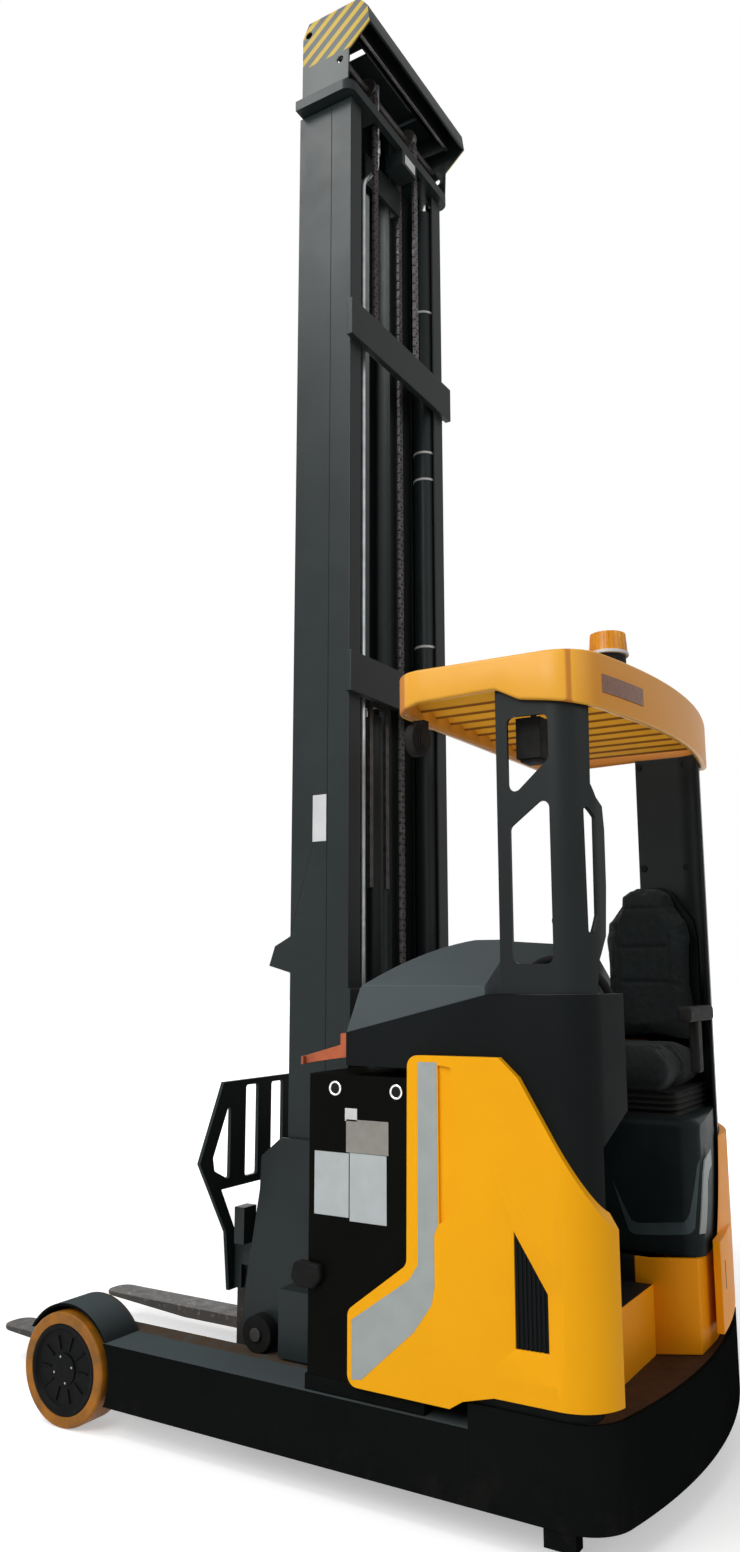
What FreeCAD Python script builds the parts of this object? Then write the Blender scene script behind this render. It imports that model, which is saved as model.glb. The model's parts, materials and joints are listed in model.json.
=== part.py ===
"""Sit-on reach truck, 2 t class. Millimetres, +Z up, forks towards -Y, +X the truck's left side.

Origin: middle of the floor rectangle under the whole truck. Heights are above the floor. Lengths in
the sheet are behind (+) or ahead (-) of the load wheels' axle, which lies axle_at behind the origin.
"""
import FreeCAD, Part
import Sketcher
import math
import os
import re

V = FreeCAD.Vector
doc = FreeCAD.newDocument("ReachTruck")

# ---------------------------------------------------------------- driving dimensions
SHEET = [
    # chassis
    ("half_width", 635, "half of the overall width, at the load wheels"),
    ("rear_end", 1815, "rearmost point of the body"),
    ("body_inset", 13, "skirt and legs inside the overall width"),
    ("corner_radius", 130, "plan radius of the two rear corners"),
    ("bow_radius", 2200, "plan radius of the bowed rear"),
    ("ground_gap", 86, "underside of legs and skirt"),
    ("leg_top", 262, "top of the straddle legs"),
    ("leg_width", 142, "outer box of a leg"),
    ("rail_width", 72, "inner channel of a leg, for the reach rollers"),
    ("rail_wall", 14, "walls of that channel"),
    ("leg_back", 1378, "seam between legs and rear skirt"),
    ("rail_nose", 120, "rail ahead of the axle"),
    ("wheel_radius", 165, "load wheel"),
    ("wheel_width", 110, "load wheel"),
    ("tread_depth", 34, "polyurethane on the load wheel"),
    ("axle_radius", 22, "load wheel stub axle"),
    ("shaft_gap", 0.05, "running clearance on a shaft, each side"),
    ("fender_gap", 14, "air between load wheel and fender"),
    ("fender_wall", 8, "fender sheet"),
    ("plate", 12, "chassis sheet"),
    ("deck_top", 302, "step plate behind, tray level ahead"),
    ("skirt_top", 322, "upper edge of the rear skirt"),
    # battery
    ("battery_front", 890, "front face of the battery"),
    ("battery_length", 355, "battery along the truck"),
    ("battery_half", 611, "half of the battery across the truck"),
    ("battery_height", 784, "battery box"),
    # body panels
    ("panel_wall", 22, "moulded side panels"),
    ("panel_top", 1140, "upper edge of the side panels"),
    ("panel_toe", 1035, "front toe of the side panels"),
    ("panel_corner", 30, "corners of the left panel's toe"),
    ("console_top", 1310, "split line above the left housing"),
    ("hood_front", 1014, "lower front edge of the hood"),
    ("hood_top", 1455, "crown of the hood"),
    ("hood_back", 1360, "rear face of the hood in front of the driver"),
    ("hood_low", 1200, "front end of the hood's split line"),
    ("battery_lid", 1112, "underside of the cowl over the battery"),
    ("fit", 0.5, "air between panels"),
    ("console_inner", 285, "inner bulge of the left housing"),
    ("jamb", 535, "end of the left housing on the rear face"),
    ("floor_top", 490, "footwell floor"),
    ("riser_back", 1650, "rear face of the footwell riser"),
    # seat
    ("plinth_edge", -20, "left face of the seat plinth"),
    ("plinth_top", 560, "seat plinth"),
    ("pod_top", 940, "moulded seat base"),
    ("pod_half", 208, "half of the seat base along the truck"),
    ("pod_corner", 55, "upright corners of the seat base"),
    ("seat_middle", 1535, "centre line of the seat"),
    ("seat_width", 336, "seat cushion and backrest"),
    ("seat_floor", 1010, "underside of the cushion"),
    ("cushion_depth", 120, "seat cushion"),
    ("seat_back_top", 1665, "top of the backrest"),
    # overhead guard
    ("guard_top", 2205, "overall height of the overhead guard"),
    ("guard_front", 1150, "front edge of the guard"),
    ("guard_rim", 88, "depth of the guard's rim over the pillars"),
    ("guard_front_rim", 138, "depth of the guard's rim in front"),
    ("guard_rear_rim", 154, "depth of the guard's rim behind"),
    ("guard_wall", 23.5, "width of the rim"),
    ("guard_radius", 110, "front corners of the guard"),
    ("slat_pitch", 96, "roof slats"),
    ("slat_count", 11, "roof slats"),
    ("beacon_side", 300, "beacon off the centre line"),
    ("pillar_front", 1480, "front edge of the pillars"),
    ("pillar_wall", 10, "pillar sheet"),
    ("pillar_inset", 24, "pillars inside the body"),
    ("window_corner", 20, "corners of the pillars' windows"),
    # drive
    ("drive_at", 1500, "drive wheel behind the load axle: the wheelbase"),
    ("drive_side", -185, "drive wheel off the centre line"),
    ("drive_radius", 171.5, "drive wheel"),
    ("drive_width", 140, "drive wheel"),
    ("drive_plate", 380, "seat of the drive motor"),
    ("drive_sweep", 200, "room for the steered drive wheel"),
    ("reach_side", 150, "reach cylinder off the centre line"),
    # mast
    ("mast_front", 624, "front face of the outer mast"),
    ("mast_half", 338, "half of the outer mast's width"),
    ("mast_foot", 240, "bottom of the outer mast"),
    ("mast_top", 4452, "top of the outer channels"),
    ("mast_height", 4800, "overall height of the closed mast"),
    ("channel_depth", 122, "every mast rail's track along the truck"),
    ("channel_width", 70, "outer channel across the truck"),
    ("channel_web", 16, "webs of the rails"),
    ("channel_flange", 18, "flanges of the rails"),
    ("shelter_depth", 100, "cylinder shelter behind the outer channel"),
    ("shelter_wall", 8, "sheet of that shelter"),
    ("bar_depth", 24, "crossbars of the outer mast"),
    ("bar_height", 136, "crossbars of the outer mast"),
    ("bar_half", 364, "half of a crossbar"),
    ("stage_gap", 6, "air between two mast stages"),
    ("middle_width", 84, "middle rail across the truck"),
    ("inner_width", 62, "inner rail across the truck"),
    ("roller_gap", 0.3, "roller to its track"),
    ("barrel_radius", 42, "main lift cylinders"),
    ("rod_radius", 28, "main lift rods"),
    ("barrel_gap", 4, "cylinder to the shelter's walls"),
    ("free_radius", 33, "free lift cylinder"),
    ("free_rod_radius", 22, "free lift rod"),
    ("free_at", 732, "free lift cylinder"),
    ("free_top", 2250, "top of the free lift cylinder"),
    ("chain_inset", 28, "lift chains inside the middle rails"),
    ("chain_front", 754, "front strand of the lift chains"),
    ("chain_thick", 12, "lift chain, and the free lift chain, along the truck"),
    ("chain_width", 24, "lift chain across the truck"),
    ("sheave_radius", 36, "sheaves, to the middle of the chain"),
    ("collar_low", 4458, "collar of the middle stage"),
    ("collar_high", 39, "thickness of the collar"),
    ("collar_half", 377, "half of the collar"),
    ("collar_back", 868, "rear edge of the collar"),
    ("head_wall", 8, "cheek plates of the head"),
    # reach carriage
    ("carriage_front", 520, "front edge of the reach carriage plates"),
    ("carriage_plate", 16, "reach carriage plates"),
    ("carriage_top", 860, "top of the reach carriage plates"),
    ("sill_depth", 70, "sills under the mast"),
    ("reach_roller", 52, "reach roller radius"),
    # forks and their carriage
    ("fork_face", 422, "front face of the fork shanks"),
    ("fork_length", 1070, "fork blade"),
    ("fork_width", 122, "fork blade"),
    ("fork_thick", 40, "fork blade at the heel"),
    ("fork_top", 120, "load face of the blades at rest"),
    ("fork_side", 257, "fork centre off the centre line"),
    ("shank_top", 560, "top of the fork shanks"),
    ("backrest_top", 1024, "load backrest"),
    ("backrest_wide", 530, "half of the backrest at its bulge"),
    ("backrest_thick", 12, "load backrest sheet"),
]

sheet = doc.addObject("Spreadsheet::Sheet", "Sizes")
for row, (alias, value, note) in enumerate(SHEET, 1):
    sheet.set(f"A{row}", note)
    sheet.set(f"B{row}", str(value))
    sheet.setAlias(f"B{row}", alias)
doc.recompute()
ALIASES = {alias for alias, value, note in SHEET}


def formula(text):
    """Points each alias in a formula at its cell."""
    return re.sub(r"[a-z_]+", lambda word: f"Sizes.{word.group()}" if word.group() in ALIASES else word.group(), str(text))


def number(text):
    """The value of a formula."""
    return float(sheet.evalExpression(formula(text)))


# ---------------------------------------------------------------- places worked out from the sheet
axle_at = "((fork_length - fork_face - rear_end) / 2)"
body_half = "(half_width - body_inset)"
leg_inner = f"({body_half} - leg_width)"
rail_inner = f"({leg_inner} - rail_width)"
battery_back = "(battery_front + battery_length)"
channel_back = "(mast_front + channel_depth)"
mast_back = f"({channel_back} + shelter_depth)"
bar_back = f"({mast_back} + bar_depth)"
track_middle = "(mast_front + channel_depth / 2)"
middle_outer = "(mast_half - channel_width - stage_gap)"
middle_inner = f"({middle_outer} - middle_width)"
inner_outer = f"({middle_inner} - stage_gap)"
inner_inner = f"({inner_outer} - inner_width)"
chain_side = f"({middle_inner} - chain_inset)"
stage_front = "(mast_front + stage_gap)"
stage_back = f"({channel_back} - stage_gap)"
outer_roller = "(channel_depth / 2 - channel_flange - roller_gap)"
stage_roller = f"({outer_roller} - stage_gap)"


# ---------------------------------------------------------------- building blocks
class Via:
    """A point that an arc between two corners passes through."""

    def __init__(self, across, up):
        self.at = (across, up)


def origin_plane(body, role):
    return next(part for part in body.Origin.OriginFeatures if part.Role == role)


def draw(body, plane, corners, level):
    """A closed sketch in one of the body's planes, at a level along that plane's own axis.

    Corners are pairs of formulas. A Via between two corners makes their edge an arc.
    """
    sketch = body.newObject("Sketcher::SketchObject", "Outline")
    sketch.AttachmentSupport = [(origin_plane(body, plane + "_Plane"), "")]
    sketch.MapMode = "FlatFace"
    towards = "-" if plane == "XZ" else ""
    sketch.setExpression("AttachmentOffset.Base.z", formula(f"{towards}({level})"))
    places = []
    for corner in corners:
        if isinstance(corner, Via):
            places[-1][1] = corner.at
        else:
            places.append([corner, None])
    flat = [V(number(across), number(up), 0) for (across, up), via in places]

    def pin(index, point, place):
        for kind, text in (("DistanceX", place[0]), ("DistanceY", place[1])):
            held = sketch.addConstraint(Sketcher.Constraint(kind, -1, 1, index, point, number(text)))
            sketch.setExpression(f"Constraints[{held}]", formula(text))

    edges = []
    for at, (corner, via) in enumerate(places):
        start, end = flat[at], flat[(at + 1) % len(flat)]
        if via is None:
            edges.append((sketch.addGeometry(Part.LineSegment(start, end)), 1, 2))
        else:
            middle = V(number(via[0]), number(via[1]), 0)
            clockwise = (middle - start).cross(end - middle).z < 0
            made = sketch.addGeometry(Part.Arc(end, middle, start) if clockwise else Part.Arc(start, middle, end))
            edges.append((made, 2, 1) if clockwise else (made, 1, 2))
            mark = sketch.addGeometry(Part.Point(middle), True)
            pin(mark, 1, via)
            sketch.addConstraint(Sketcher.Constraint("PointOnObject", mark, 1, made))
    for at, (edge, first, last) in enumerate(edges):
        following, start_of_next, _ = edges[(at + 1) % len(edges)]
        sketch.addConstraint(Sketcher.Constraint("Coincident", edge, last, following, start_of_next))
        pin(edge, first, places[at][0])
    return sketch


def new_body(label, at=("0", "0", "0")):
    body = doc.addObject("PartDesign::Body", label)
    body.Label = label
    for axis, text in zip("xyz", (at[0], f"{axle_at} + {at[1]}", at[2])):
        body.setExpression(f"Placement.Base.{axis}", formula(text))
    return body


def add(body, plane, corners, low, high):
    """Pads an outline from low to high along the plane's axis."""
    pad = body.newObject("PartDesign::Pad", "Pad")
    pad.Profile = draw(body, plane, corners, high if plane == "XZ" else low)
    pad.setExpression("Length", formula(f"({high}) - ({low})"))
    return pad


def cut(body, plane, corners, low, high):
    """Pockets an outline from low to high along the plane's axis."""
    pocket = body.newObject("PartDesign::Pocket", "Pocket")
    pocket.Profile = draw(body, plane, corners, low if plane == "XZ" else high)
    pocket.setExpression("Length", formula(f"({high}) - ({low})"))
    return pocket


def prism(label, plane, corners, low, high):
    body = new_body(label)
    add(body, plane, corners, low, high)
    return body


def box(low_a, high_a, low_b, high_b):
    return [(low_a, low_b), (high_a, low_b), (high_a, high_b), (low_a, high_b)]


def round_off(body, radius, chosen):
    """Fillets the edges of the body's last feature whose middle point is chosen."""
    doc.recompute()
    base = body.Tip
    names = []
    for count, edge in enumerate(base.Shape.Edges, 1):
        middle = edge.valueAt((edge.FirstParameter + edge.LastParameter) / 2)
        if chosen(edge, middle):
            names.append(f"Edge{count}")
    if not names:
        raise RuntimeError(f"{body.Label}: no edge to round")
    fillet = body.newObject("PartDesign::Fillet", "Rounding")
    fillet.Base = (base, names)
    fillet.setExpression("Radius", formula(radius))
    return fillet


def runs_along(edge, axis):
    """Whether a straight edge runs along an axis, given as a unit vector."""
    if edge.Curve.TypeId != "Part::GeomLine":
        return False
    return abs(edge.Curve.Direction.dot(axis)) > 0.999


def turned(label, profile, axis, at):
    """A body turned from a profile of (along, radius) pairs about an axis through its place."""
    body = new_body(label, at)
    turn(body, profile, axis)
    return body


def turn(body, profile, axis):
    plane, line = {"X": ("XY", "H_Axis"), "Y": ("XY", "V_Axis"), "Z": ("XZ", "V_Axis")}[axis]
    corners = [(along, out) if axis == "X" else (out, along) for along, out in profile]
    revolution = body.newObject("PartDesign::Revolution", "Revolution")
    revolution.Profile = draw(body, plane, corners, "0")
    revolution.ReferenceAxis = (revolution.Profile[0], [line])
    revolution.Angle = 360
    return revolution


def rod(label, axis, centre, radius, low, high):
    """A plain cylinder primitive along an axis, at a centre given across that axis."""
    cylinder = doc.addObject("Part::Cylinder", label)
    cylinder.setExpression("Radius", formula(radius))
    cylinder.setExpression("Height", formula(f"({high}) - ({low})"))
    turns = {"X": FreeCAD.Rotation(V(0, 1, 0), 90), "Y": FreeCAD.Rotation(V(1, 0, 0), -90), "Z": FreeCAD.Rotation()}
    cylinder.Placement = FreeCAD.Placement(V(), turns[axis])
    first, second = centre
    place = {"X": (low, first, second), "Y": (first, low, second), "Z": (first, second, low)}[axis]
    for name, text in zip("xyz", (place[0], f"{axle_at} + {place[1]}", place[2])):
        cylinder.setExpression(f"Placement.Base.{name}", formula(text))
    return cylinder


def block(label, low, high):
    """A plain box primitive between two corners."""
    made = doc.addObject("Part::Box", label)
    for size, axis in (("Length", 0), ("Width", 1), ("Height", 2)):
        made.setExpression(size, formula(f"({high[axis]}) - ({low[axis]})"))
    for name, text in zip("xyz", (low[0], f"{axle_at} + {low[1]}", low[2])):
        made.setExpression(f"Placement.Base.{name}", formula(text))
    return made


def fuse(label, pieces):
    made = doc.addObject("Part::MultiFuse", label)
    made.Shapes = pieces
    made.Label = label
    return made


def common(label, first, second):
    made = doc.addObject("Part::Common", label)
    made.Base = first
    made.Tool = second
    made.Label = label
    return made


def less(label, base, tool):
    made = doc.addObject("Part::Cut", label)
    made.Base = base
    made.Tool = tool
    made.Label = label
    return made


nodes = []


def node(made):
    nodes.append(made)
    return made


def plan(inset, front, front_radius=None, side=body_half):
    """The body's plan outline, drawn in by inset: straight sides, round rear corners, bowed rear."""
    inset = f"({inset})"
    half = f"({side} - {inset})"
    corner = f"(corner_radius - {inset})"
    bow = f"(bow_radius - {inset})"
    centre = f"({half} - {corner})"
    lean = f"({centre} / ({bow} - {corner}))"
    upright = f"sqrt(1 - {lean} * {lean})"
    turn_y = f"(rear_end - bow_radius + ({bow} - {corner}) * {upright})"
    end_x = f"({centre} + {corner} * {lean})"
    end_y = f"({turn_y} + {corner} * {upright})"
    mid_lean = f"sqrt((1 + {lean}) / 2)"
    mid_up = f"sqrt((1 - {lean}) / 2)"
    right = [(half, turn_y), Via(f"{centre} + {corner} * {mid_lean}", f"{turn_y} + {corner} * {mid_up}"), (end_x, end_y)]
    left = [(f"-{end_x}", end_y), Via(f"-({centre} + {corner} * {mid_lean})", f"{turn_y} + {corner} * {mid_up}"),
            (f"-{half}", turn_y)]
    rear = [Via("0", f"rear_end - {inset}")]
    if front_radius is None:
        return [(half, front)] + right + rear + left + [(f"-{half}", front)]
    slack = f"({front_radius} * (1 - sqrt(0.5)))"
    return ([(f"{half} - {front_radius}", front), Via(f"{half} - {slack}", f"{front} + {slack}"),
             (half, f"{front} + {front_radius}")] + right + rear + left
            + [(f"-{half}", f"{front} + {front_radius}"), Via(f"-({half} - {slack})", f"{front} + {slack}"),
               (f"-({half} - {front_radius})", front)])


# ---------------------------------------------------------------- chassis
def leg(label, side):
    """Straddle leg: outer box, inner reach rail open to the inside, and the fender over the wheel."""
    body = new_body(label)
    hollow = "(wheel_radius + fender_gap)"
    slope = f"sqrt({hollow} * {hollow} - (leg_top - wheel_radius) * (leg_top - wheel_radius))"
    under = f"sqrt({hollow} * {hollow} - (wheel_radius - ground_gap) * (wheel_radius - ground_gap))"
    low, high = sorted_sides(side, leg_inner, body_half)
    add(body, "YZ", [(slope, "leg_top"), Via(hollow, "wheel_radius"), (under, "ground_gap"),
                     ("leg_back", "ground_gap"), ("leg_back", "leg_top")], low, high)
    low, high = sorted_sides(side, rail_inner, leg_inner)
    add(body, "YZ", box("-rail_nose", "leg_back", "ground_gap", "leg_top"), low, high)
    low, high = sorted_sides(side, rail_inner, f"{leg_inner} - rail_wall")
    cut(body, "YZ", box("wheel_radius", "leg_back", "ground_gap + rail_wall", "leg_top - rail_wall"), low, high)
    outer = f"({hollow} + fender_wall)"
    foot = f"sqrt({outer} * {outer} - (leg_top - wheel_radius) * (leg_top - wheel_radius))"
    low, high = sorted_sides(side, leg_inner, f"{body_half} - 4")
    add(body, "YZ", [(f"-{foot}", "leg_top"), Via("0", f"wheel_radius + {outer}"), (foot, "leg_top"),
                     (slope, "leg_top"), Via("0", f"wheel_radius + {hollow}"), (f"-{slope}", "leg_top")], low, high)
    low, high = sorted_sides(side, f"{leg_inner} - fender_wall", leg_inner)
    add(body, "YZ", [(f"-{foot}", "leg_top - 1"), (f"-{foot}", "leg_top"), Via("0", f"wheel_radius + {outer}"),
                     (foot, "leg_top"), (foot, "leg_top - 1")], low, high)
    return body


def sorted_sides(side, inner, outer):
    """The low and high X of a span between two distances from the centre line."""
    return (inner, outer) if side > 0 else (f"-({outer})", f"-({inner})")


for name, side in (("left", 1), ("right", -1)):
    node(leg(f"leg_{name}", side))

tyre_middle = "(half_width - wheel_width / 2)"
stubs = []
for name, side in (("left", 1), ("right", -1)):
    low, high = sorted_sides(side, leg_inner, "half_width - 30")
    pin = rod(f"stub_{name}", "X", ("0", "wheel_radius"), "axle_radius", low, high)
    low, high = sorted_sides(side, leg_inner, "half_width - wheel_width - 4")
    boss = rod(f"boss_{name}", "X", ("0", "wheel_radius"), "2 * axle_radius", low, high)
    stubs.append(fuse(f"stub_axle_{name}", [pin, boss]))
node(fuse("load_axles", stubs))

for name, side in (("left", 1), ("right", -1)):
    bore = "axle_radius + shaft_gap"
    rim = "wheel_radius - tread_depth"
    face = f"{side} * wheel_width / 2"
    dish = f"{side} * (wheel_width / 2 - 10)"
    seat = f"{side} * (wheel_width / 2 - 26)"
    back = f"-{side} * wheel_width / 2"
    web = f"{side} * (wheel_width / 2 - 30)"
    node(turned(f"load_hub_{name}", [(back, bore), (seat, bore), (seat, "0"), (dish, "0"), (dish, f"{rim} - 20"),
                                     (face, f"{rim} - 12"), (face, rim), (back, rim), (back, f"{rim} - 16"),
                                     (web, f"{rim} - 16"), (web, "2 * axle_radius"), (back, "2 * axle_radius")],
                "X", (f"{side} * {tyre_middle}", "0", "wheel_radius")))
    node(turned(f"load_tyre_{name}", [(back, rim), (back, "wheel_radius - 5"), (f"-{side} * (wheel_width / 2 - 5)", "wheel_radius"),
                                      (f"{side} * (wheel_width / 2 - 5)", "wheel_radius"), (face, "wheel_radius - 5"), (face, rim)],
                "X", (f"{side} * {tyre_middle}", "0", "wheel_radius")))

skirt = new_body("skirt_wall")
add(skirt, "XY", plan("0", "leg_back"), "ground_gap", "skirt_top")
cut(skirt, "XY", plan("plate", "leg_back + plate"), "ground_gap - 1", "skirt_top")
cut(skirt, "XZ", box("drive_side - drive_sweep", "reach_side + 60", "ground_gap", "skirt_top"), "leg_back - 1", "leg_back + plate + 1")
cut(skirt, "XZ", box(f"plate - {body_half}", f"{body_half} - plate", "deck_top - plate", "skirt_top"), "leg_back - 1", "leg_back + plate + 1")
lug = block("jack_lug", (f"{body_half} - 50", "riser_back - 80", "ground_gap / 2"), (f"{body_half} - 4", "riser_back", "ground_gap + plate"))
node(fuse("chassis_skirt", [skirt, lug]))

# deck with a hole for the drive unit, footwell riser and floor
deck = prism("deck_sheet", "XY", plan("plate", "leg_back + plate"), "deck_top - plate", "deck_top")
opening = rod("drive_opening", "Z", ("drive_side", "drive_at"), "drive_sweep", "deck_top - 2 * plate", "deck_top + plate")
deck_cut = less("deck_with_opening", deck, opening)
riser = block("riser_sheet", ("plinth_edge", "riser_back - plate", "deck_top"), ("console_inner + 250", "riser_back", "floor_top"))
well = block("well_sheet", ("plinth_edge", f"{battery_back} + 60", "floor_top - plate"), ("console_inner + 80", "riser_back - plate", "floor_top"))
node(fuse("cab_floor", [deck_cut, riser, well]))

node(prism("battery_tray", "XY", box("-battery_half", "battery_half", "battery_front - 6", f"{battery_back} + 6"), "leg_top", "deck_top"))
battery = prism("battery_box", "XY", box("-battery_half", "battery_half", "battery_front", battery_back), "deck_top", "deck_top + battery_height")
round_off(battery, "6", lambda edge, middle: runs_along(edge, V(0, 0, 1)))
node(battery)

# heavy masses closed inside
motor = rod("motor_body", "Z", ("drive_side", "drive_at"), "105", "drive_plate", "plinth_top - plate")
carrier = block("motor_carrier", ("drive_side - 180", "drive_at - 90", "drive_plate"), ("plinth_edge - plate", "drive_at + 90", "drive_plate + plate"))
node(fuse("drive_motor", [motor, carrier]))


# ---------------------------------------------------------------- body panels
def shell(label, outer_inset, inner_inset, front, low, high, side=body_half):
    """A curved wall that follows the body's plan outline."""
    body = new_body(label)
    add(body, "XY", plan(outer_inset, front, side=side), low, high)
    cut(body, "XY", plan(inner_inset, f"{front} - 1", side=side), low, high)
    return body


left_face = [("panel_toe", "302"), ("panel_toe", "488"), ("panel_toe + 180", "622"), ("panel_toe + 185", "panel_top + 8"),
             ("panel_toe + 450", "panel_top + 11"), ("panel_toe + 502", "1104"), ("panel_toe + 722", "738"),
             ("rear_end + 20", "600"), ("rear_end + 20", "350"), ("panel_toe + 422", "348"),
             ("leg_back - 6", "skirt_top + 3"), ("panel_toe + 300", "302")]
left_skin = shell("left_skin", "0", "panel_wall", "panel_toe", "300", "panel_top + 40", "half_width")
left_shape = prism("left_panel_face", "YZ", left_face, "jamb - 5", "half_width + 5")
round_off(left_shape, "panel_corner", lambda edge, middle: runs_along(edge, V(1, 0, 0)) and middle.y < number("panel_toe + 190"))
node(common("side_panel_left", left_skin, left_shape))
right_face = [("panel_toe", "330"), ("panel_toe", "425"), ("panel_toe + 165", "560"), ("panel_toe + 175", "panel_top"),
              ("panel_toe + 460", "panel_top + 14"), ("panel_toe + 590", "900"), ("rear_end - 60", "860"), ("rear_end - 36", "600"),
              ("rear_end + 20", "590"), ("rear_end + 20", "345")]
right_skin = shell("right_skin", "0", "panel_wall", "panel_toe", "300", "panel_top + 40", "half_width")
node(common("side_panel_right", right_skin, prism("right_panel_face", "YZ", right_face, "-half_width - 5", "plinth_edge - 140")))

# left housing: section across the truck, cut to the plan and to its side view; its top is the hood's split line
split_front, split_back = ("hood_front", "hood_low"), ("pillar_front - 40", "console_top - 4")
section = [(body_half, "skirt_top"), ("console_inner + 130", "skirt_top"), ("console_inner + 130", "673"), ("console_inner", "1027"),
           ("console_inner + 6", "1158"), ("console_inner + 120", "console_top + 76"), (body_half, "console_top + 76")]
block_plan = prism("console_plan", "XY", plan("panel_wall + fit", "hood_front - 1", side="half_width"), "skirt_top", "console_top + 100")
console_side = [("hood_front", "battery_lid"), split_front, split_back, ("rear_end - 50", "console_top"), ("rear_end - 60", "420"), ("riser_back + 50", "skirt_top"),
                (f"{battery_back} + 10", "skirt_top"), (f"{battery_back} + 10", "battery_lid")]
cut_side = common("console_block", block_plan, prism("console_section", "XZ", section, "hood_front", "rear_end"))
console_full = common("console_full", cut_side, prism("console_side", "YZ", console_side, "0", "half_width"))
# the entry side: the housing thins towards the step, and its inner rear corner is taken off
relief_low = [("console_inner - 20", "skirt_top - 5"), ("console_inner + 258", "skirt_top - 5"), ("console_inner + 258", "940"), ("console_inner - 20", "1134")]
relief_rear = [("console_inner - 20", "rear_end - 125"), ("console_inner + 145", "rear_end - 66"), ("console_inner + 145", "rear_end + 5"),
               ("console_inner - 20", "rear_end + 5")]
thinned = less("console_thinned", console_full, prism("relief_low", "XZ", relief_low, "riser_back - 60", "rear_end + 5"))
node(less("console_left", thinned, prism("relief_rear", "XY", relief_rear, "skirt_top - 5", "console_top + 100")))

# bulkhead behind the battery, with the low cowl that reaches over it
inner_side = "(half_width - panel_wall - fit)"
slope = f"(({split_back[1]} - {split_front[1]}) / ({split_back[0]} - {split_front[0]}))"
cowl = [("hood_front", "battery_lid"), split_front, (f"{battery_back} + 46", f"{split_front[1]} + {slope} * ({battery_back} + 46 - hood_front)"),
        (f"{battery_back} + 46", "deck_top"), (f"{battery_back} + 10", "deck_top"), (f"{battery_back} + 10", "battery_lid")]
node(prism("bulkhead", "YZ", cowl, f"-{inner_side}", "console_inner - fit"))

# hood: over the cowl, and on along the left as the dash
split_end = ("hood_back", f"{split_front[1]} + {slope} * (hood_back - {split_front[0]})")
hood_side = [split_front, ("hood_front + 43", "1322"), Via("hood_front + 160", "1408"), ("hood_front + 306", "hood_top"), ("pillar_front - 70", "hood_top"),
             ("pillar_front - 41", "hood_top - 50"), split_back]
hood_across = [(inner_side, "1190"), (f"{inner_side} - 4", "1330"), (f"{inner_side} - 200", "hood_top + 1"), (f"-({inner_side} - 200)", "hood_top + 1"),
               (f"-({inner_side} - 4)", "1330"), (f"-{inner_side}", "1190")]
hood_plan = [(f"-{inner_side}", "hood_front"), (inner_side, "hood_front"), (inner_side, "pillar_front - 40"), ("console_inner + 125", "pillar_front - 40"),
             ("console_inner + 125", "hood_back"), (f"-{inner_side}", "hood_back")]
node(common("hood", common("hood_shape", prism("hood_side", "YZ", hood_side, "-half_width", "half_width"),
                           prism("hood_across", "XZ", hood_across, "hood_front - 10", "pillar_front")),
            prism("hood_plan", "XY", hood_plan, "hood_low - 10", "hood_top + 10")))

# ---------------------------------------------------------------- seat
plinth_plan = [("-590", f"{battery_back} + 60"), ("plinth_edge", f"{battery_back} + 60"), ("plinth_edge", "riser_back"),
               ("plinth_edge - 64", "riser_back + 116"), ("-590", "riser_back + 116")]
plinth_hole = [("-578", f"{battery_back} + 72"), ("plinth_edge - plate", f"{battery_back} + 72"), ("plinth_edge - plate", "riser_back - plate"),
               ("plinth_edge - 76", "riser_back + 104"), ("-578", "riser_back + 104")]
room = "(pillar_inset + pillar_wall + fit)"
front_edge = f"{battery_back} + 50"
plinth_skin = common("plinth_skin", prism("plinth_outside", "XY", plinth_plan, "deck_top", "plinth_top"),
                     prism("plinth_room", "XY", plan(room, front_edge), "deck_top", "plinth_top"))
plinth_inside = common("plinth_inside", prism("plinth_hole", "XY", plinth_hole, "deck_top", "plinth_top"),
                       prism("plinth_core", "XY", plan(f"{room} + plate", front_edge), "deck_top", "plinth_top"))
node(less("seat_plinth", plinth_skin, plinth_inside))

pod_outside = prism("pod_outside", "XY", box("-588", "-84", "seat_middle - pod_half", "rear_end - 37"), "plinth_top", "pod_top")
pod_hole = prism("pod_hole", "XY", box("-576", "-84 - plate", "seat_middle - pod_half + plate", "rear_end - 37 - plate"),
                 "plinth_top", "pod_top - plate")
for shape, radius in ((pod_outside, "pod_corner"), (pod_hole, "pod_corner - plate")):
    round_off(shape, radius, lambda edge, middle: runs_along(edge, V(0, 0, 1)) and middle.x > number("-90 - plate"))
round_off(pod_outside, "30", lambda edge, middle: abs(middle.z - number("pod_top")) < 0.1 and middle.x > -580)
pod_skin = common("pod_skin", pod_outside, prism("pod_room", "XY", plan(room, front_edge), "plinth_top", "pod_top"))
pod_inside = common("pod_inside", pod_hole, prism("pod_core", "XY", plan(f"{room} + plate", front_edge), "plinth_top", "pod_top - plate"))
node(less("seat_pod", pod_skin, pod_inside))
node(prism("seat_suspension", "XY", box("-530", "-140", "seat_middle - 170", "seat_middle + 170"), "pod_top", "seat_floor"))
half_seat = "seat_width / 2"
cushion = prism("seat_cushion", "XY", box("-530", "-90", f"seat_middle - {half_seat}", f"seat_middle + {half_seat}"), "seat_floor", "seat_floor + cushion_depth")
round_off(cushion, "30", lambda edge, middle: runs_along(edge, V(0, 0, 1)))
node(cushion)
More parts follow.
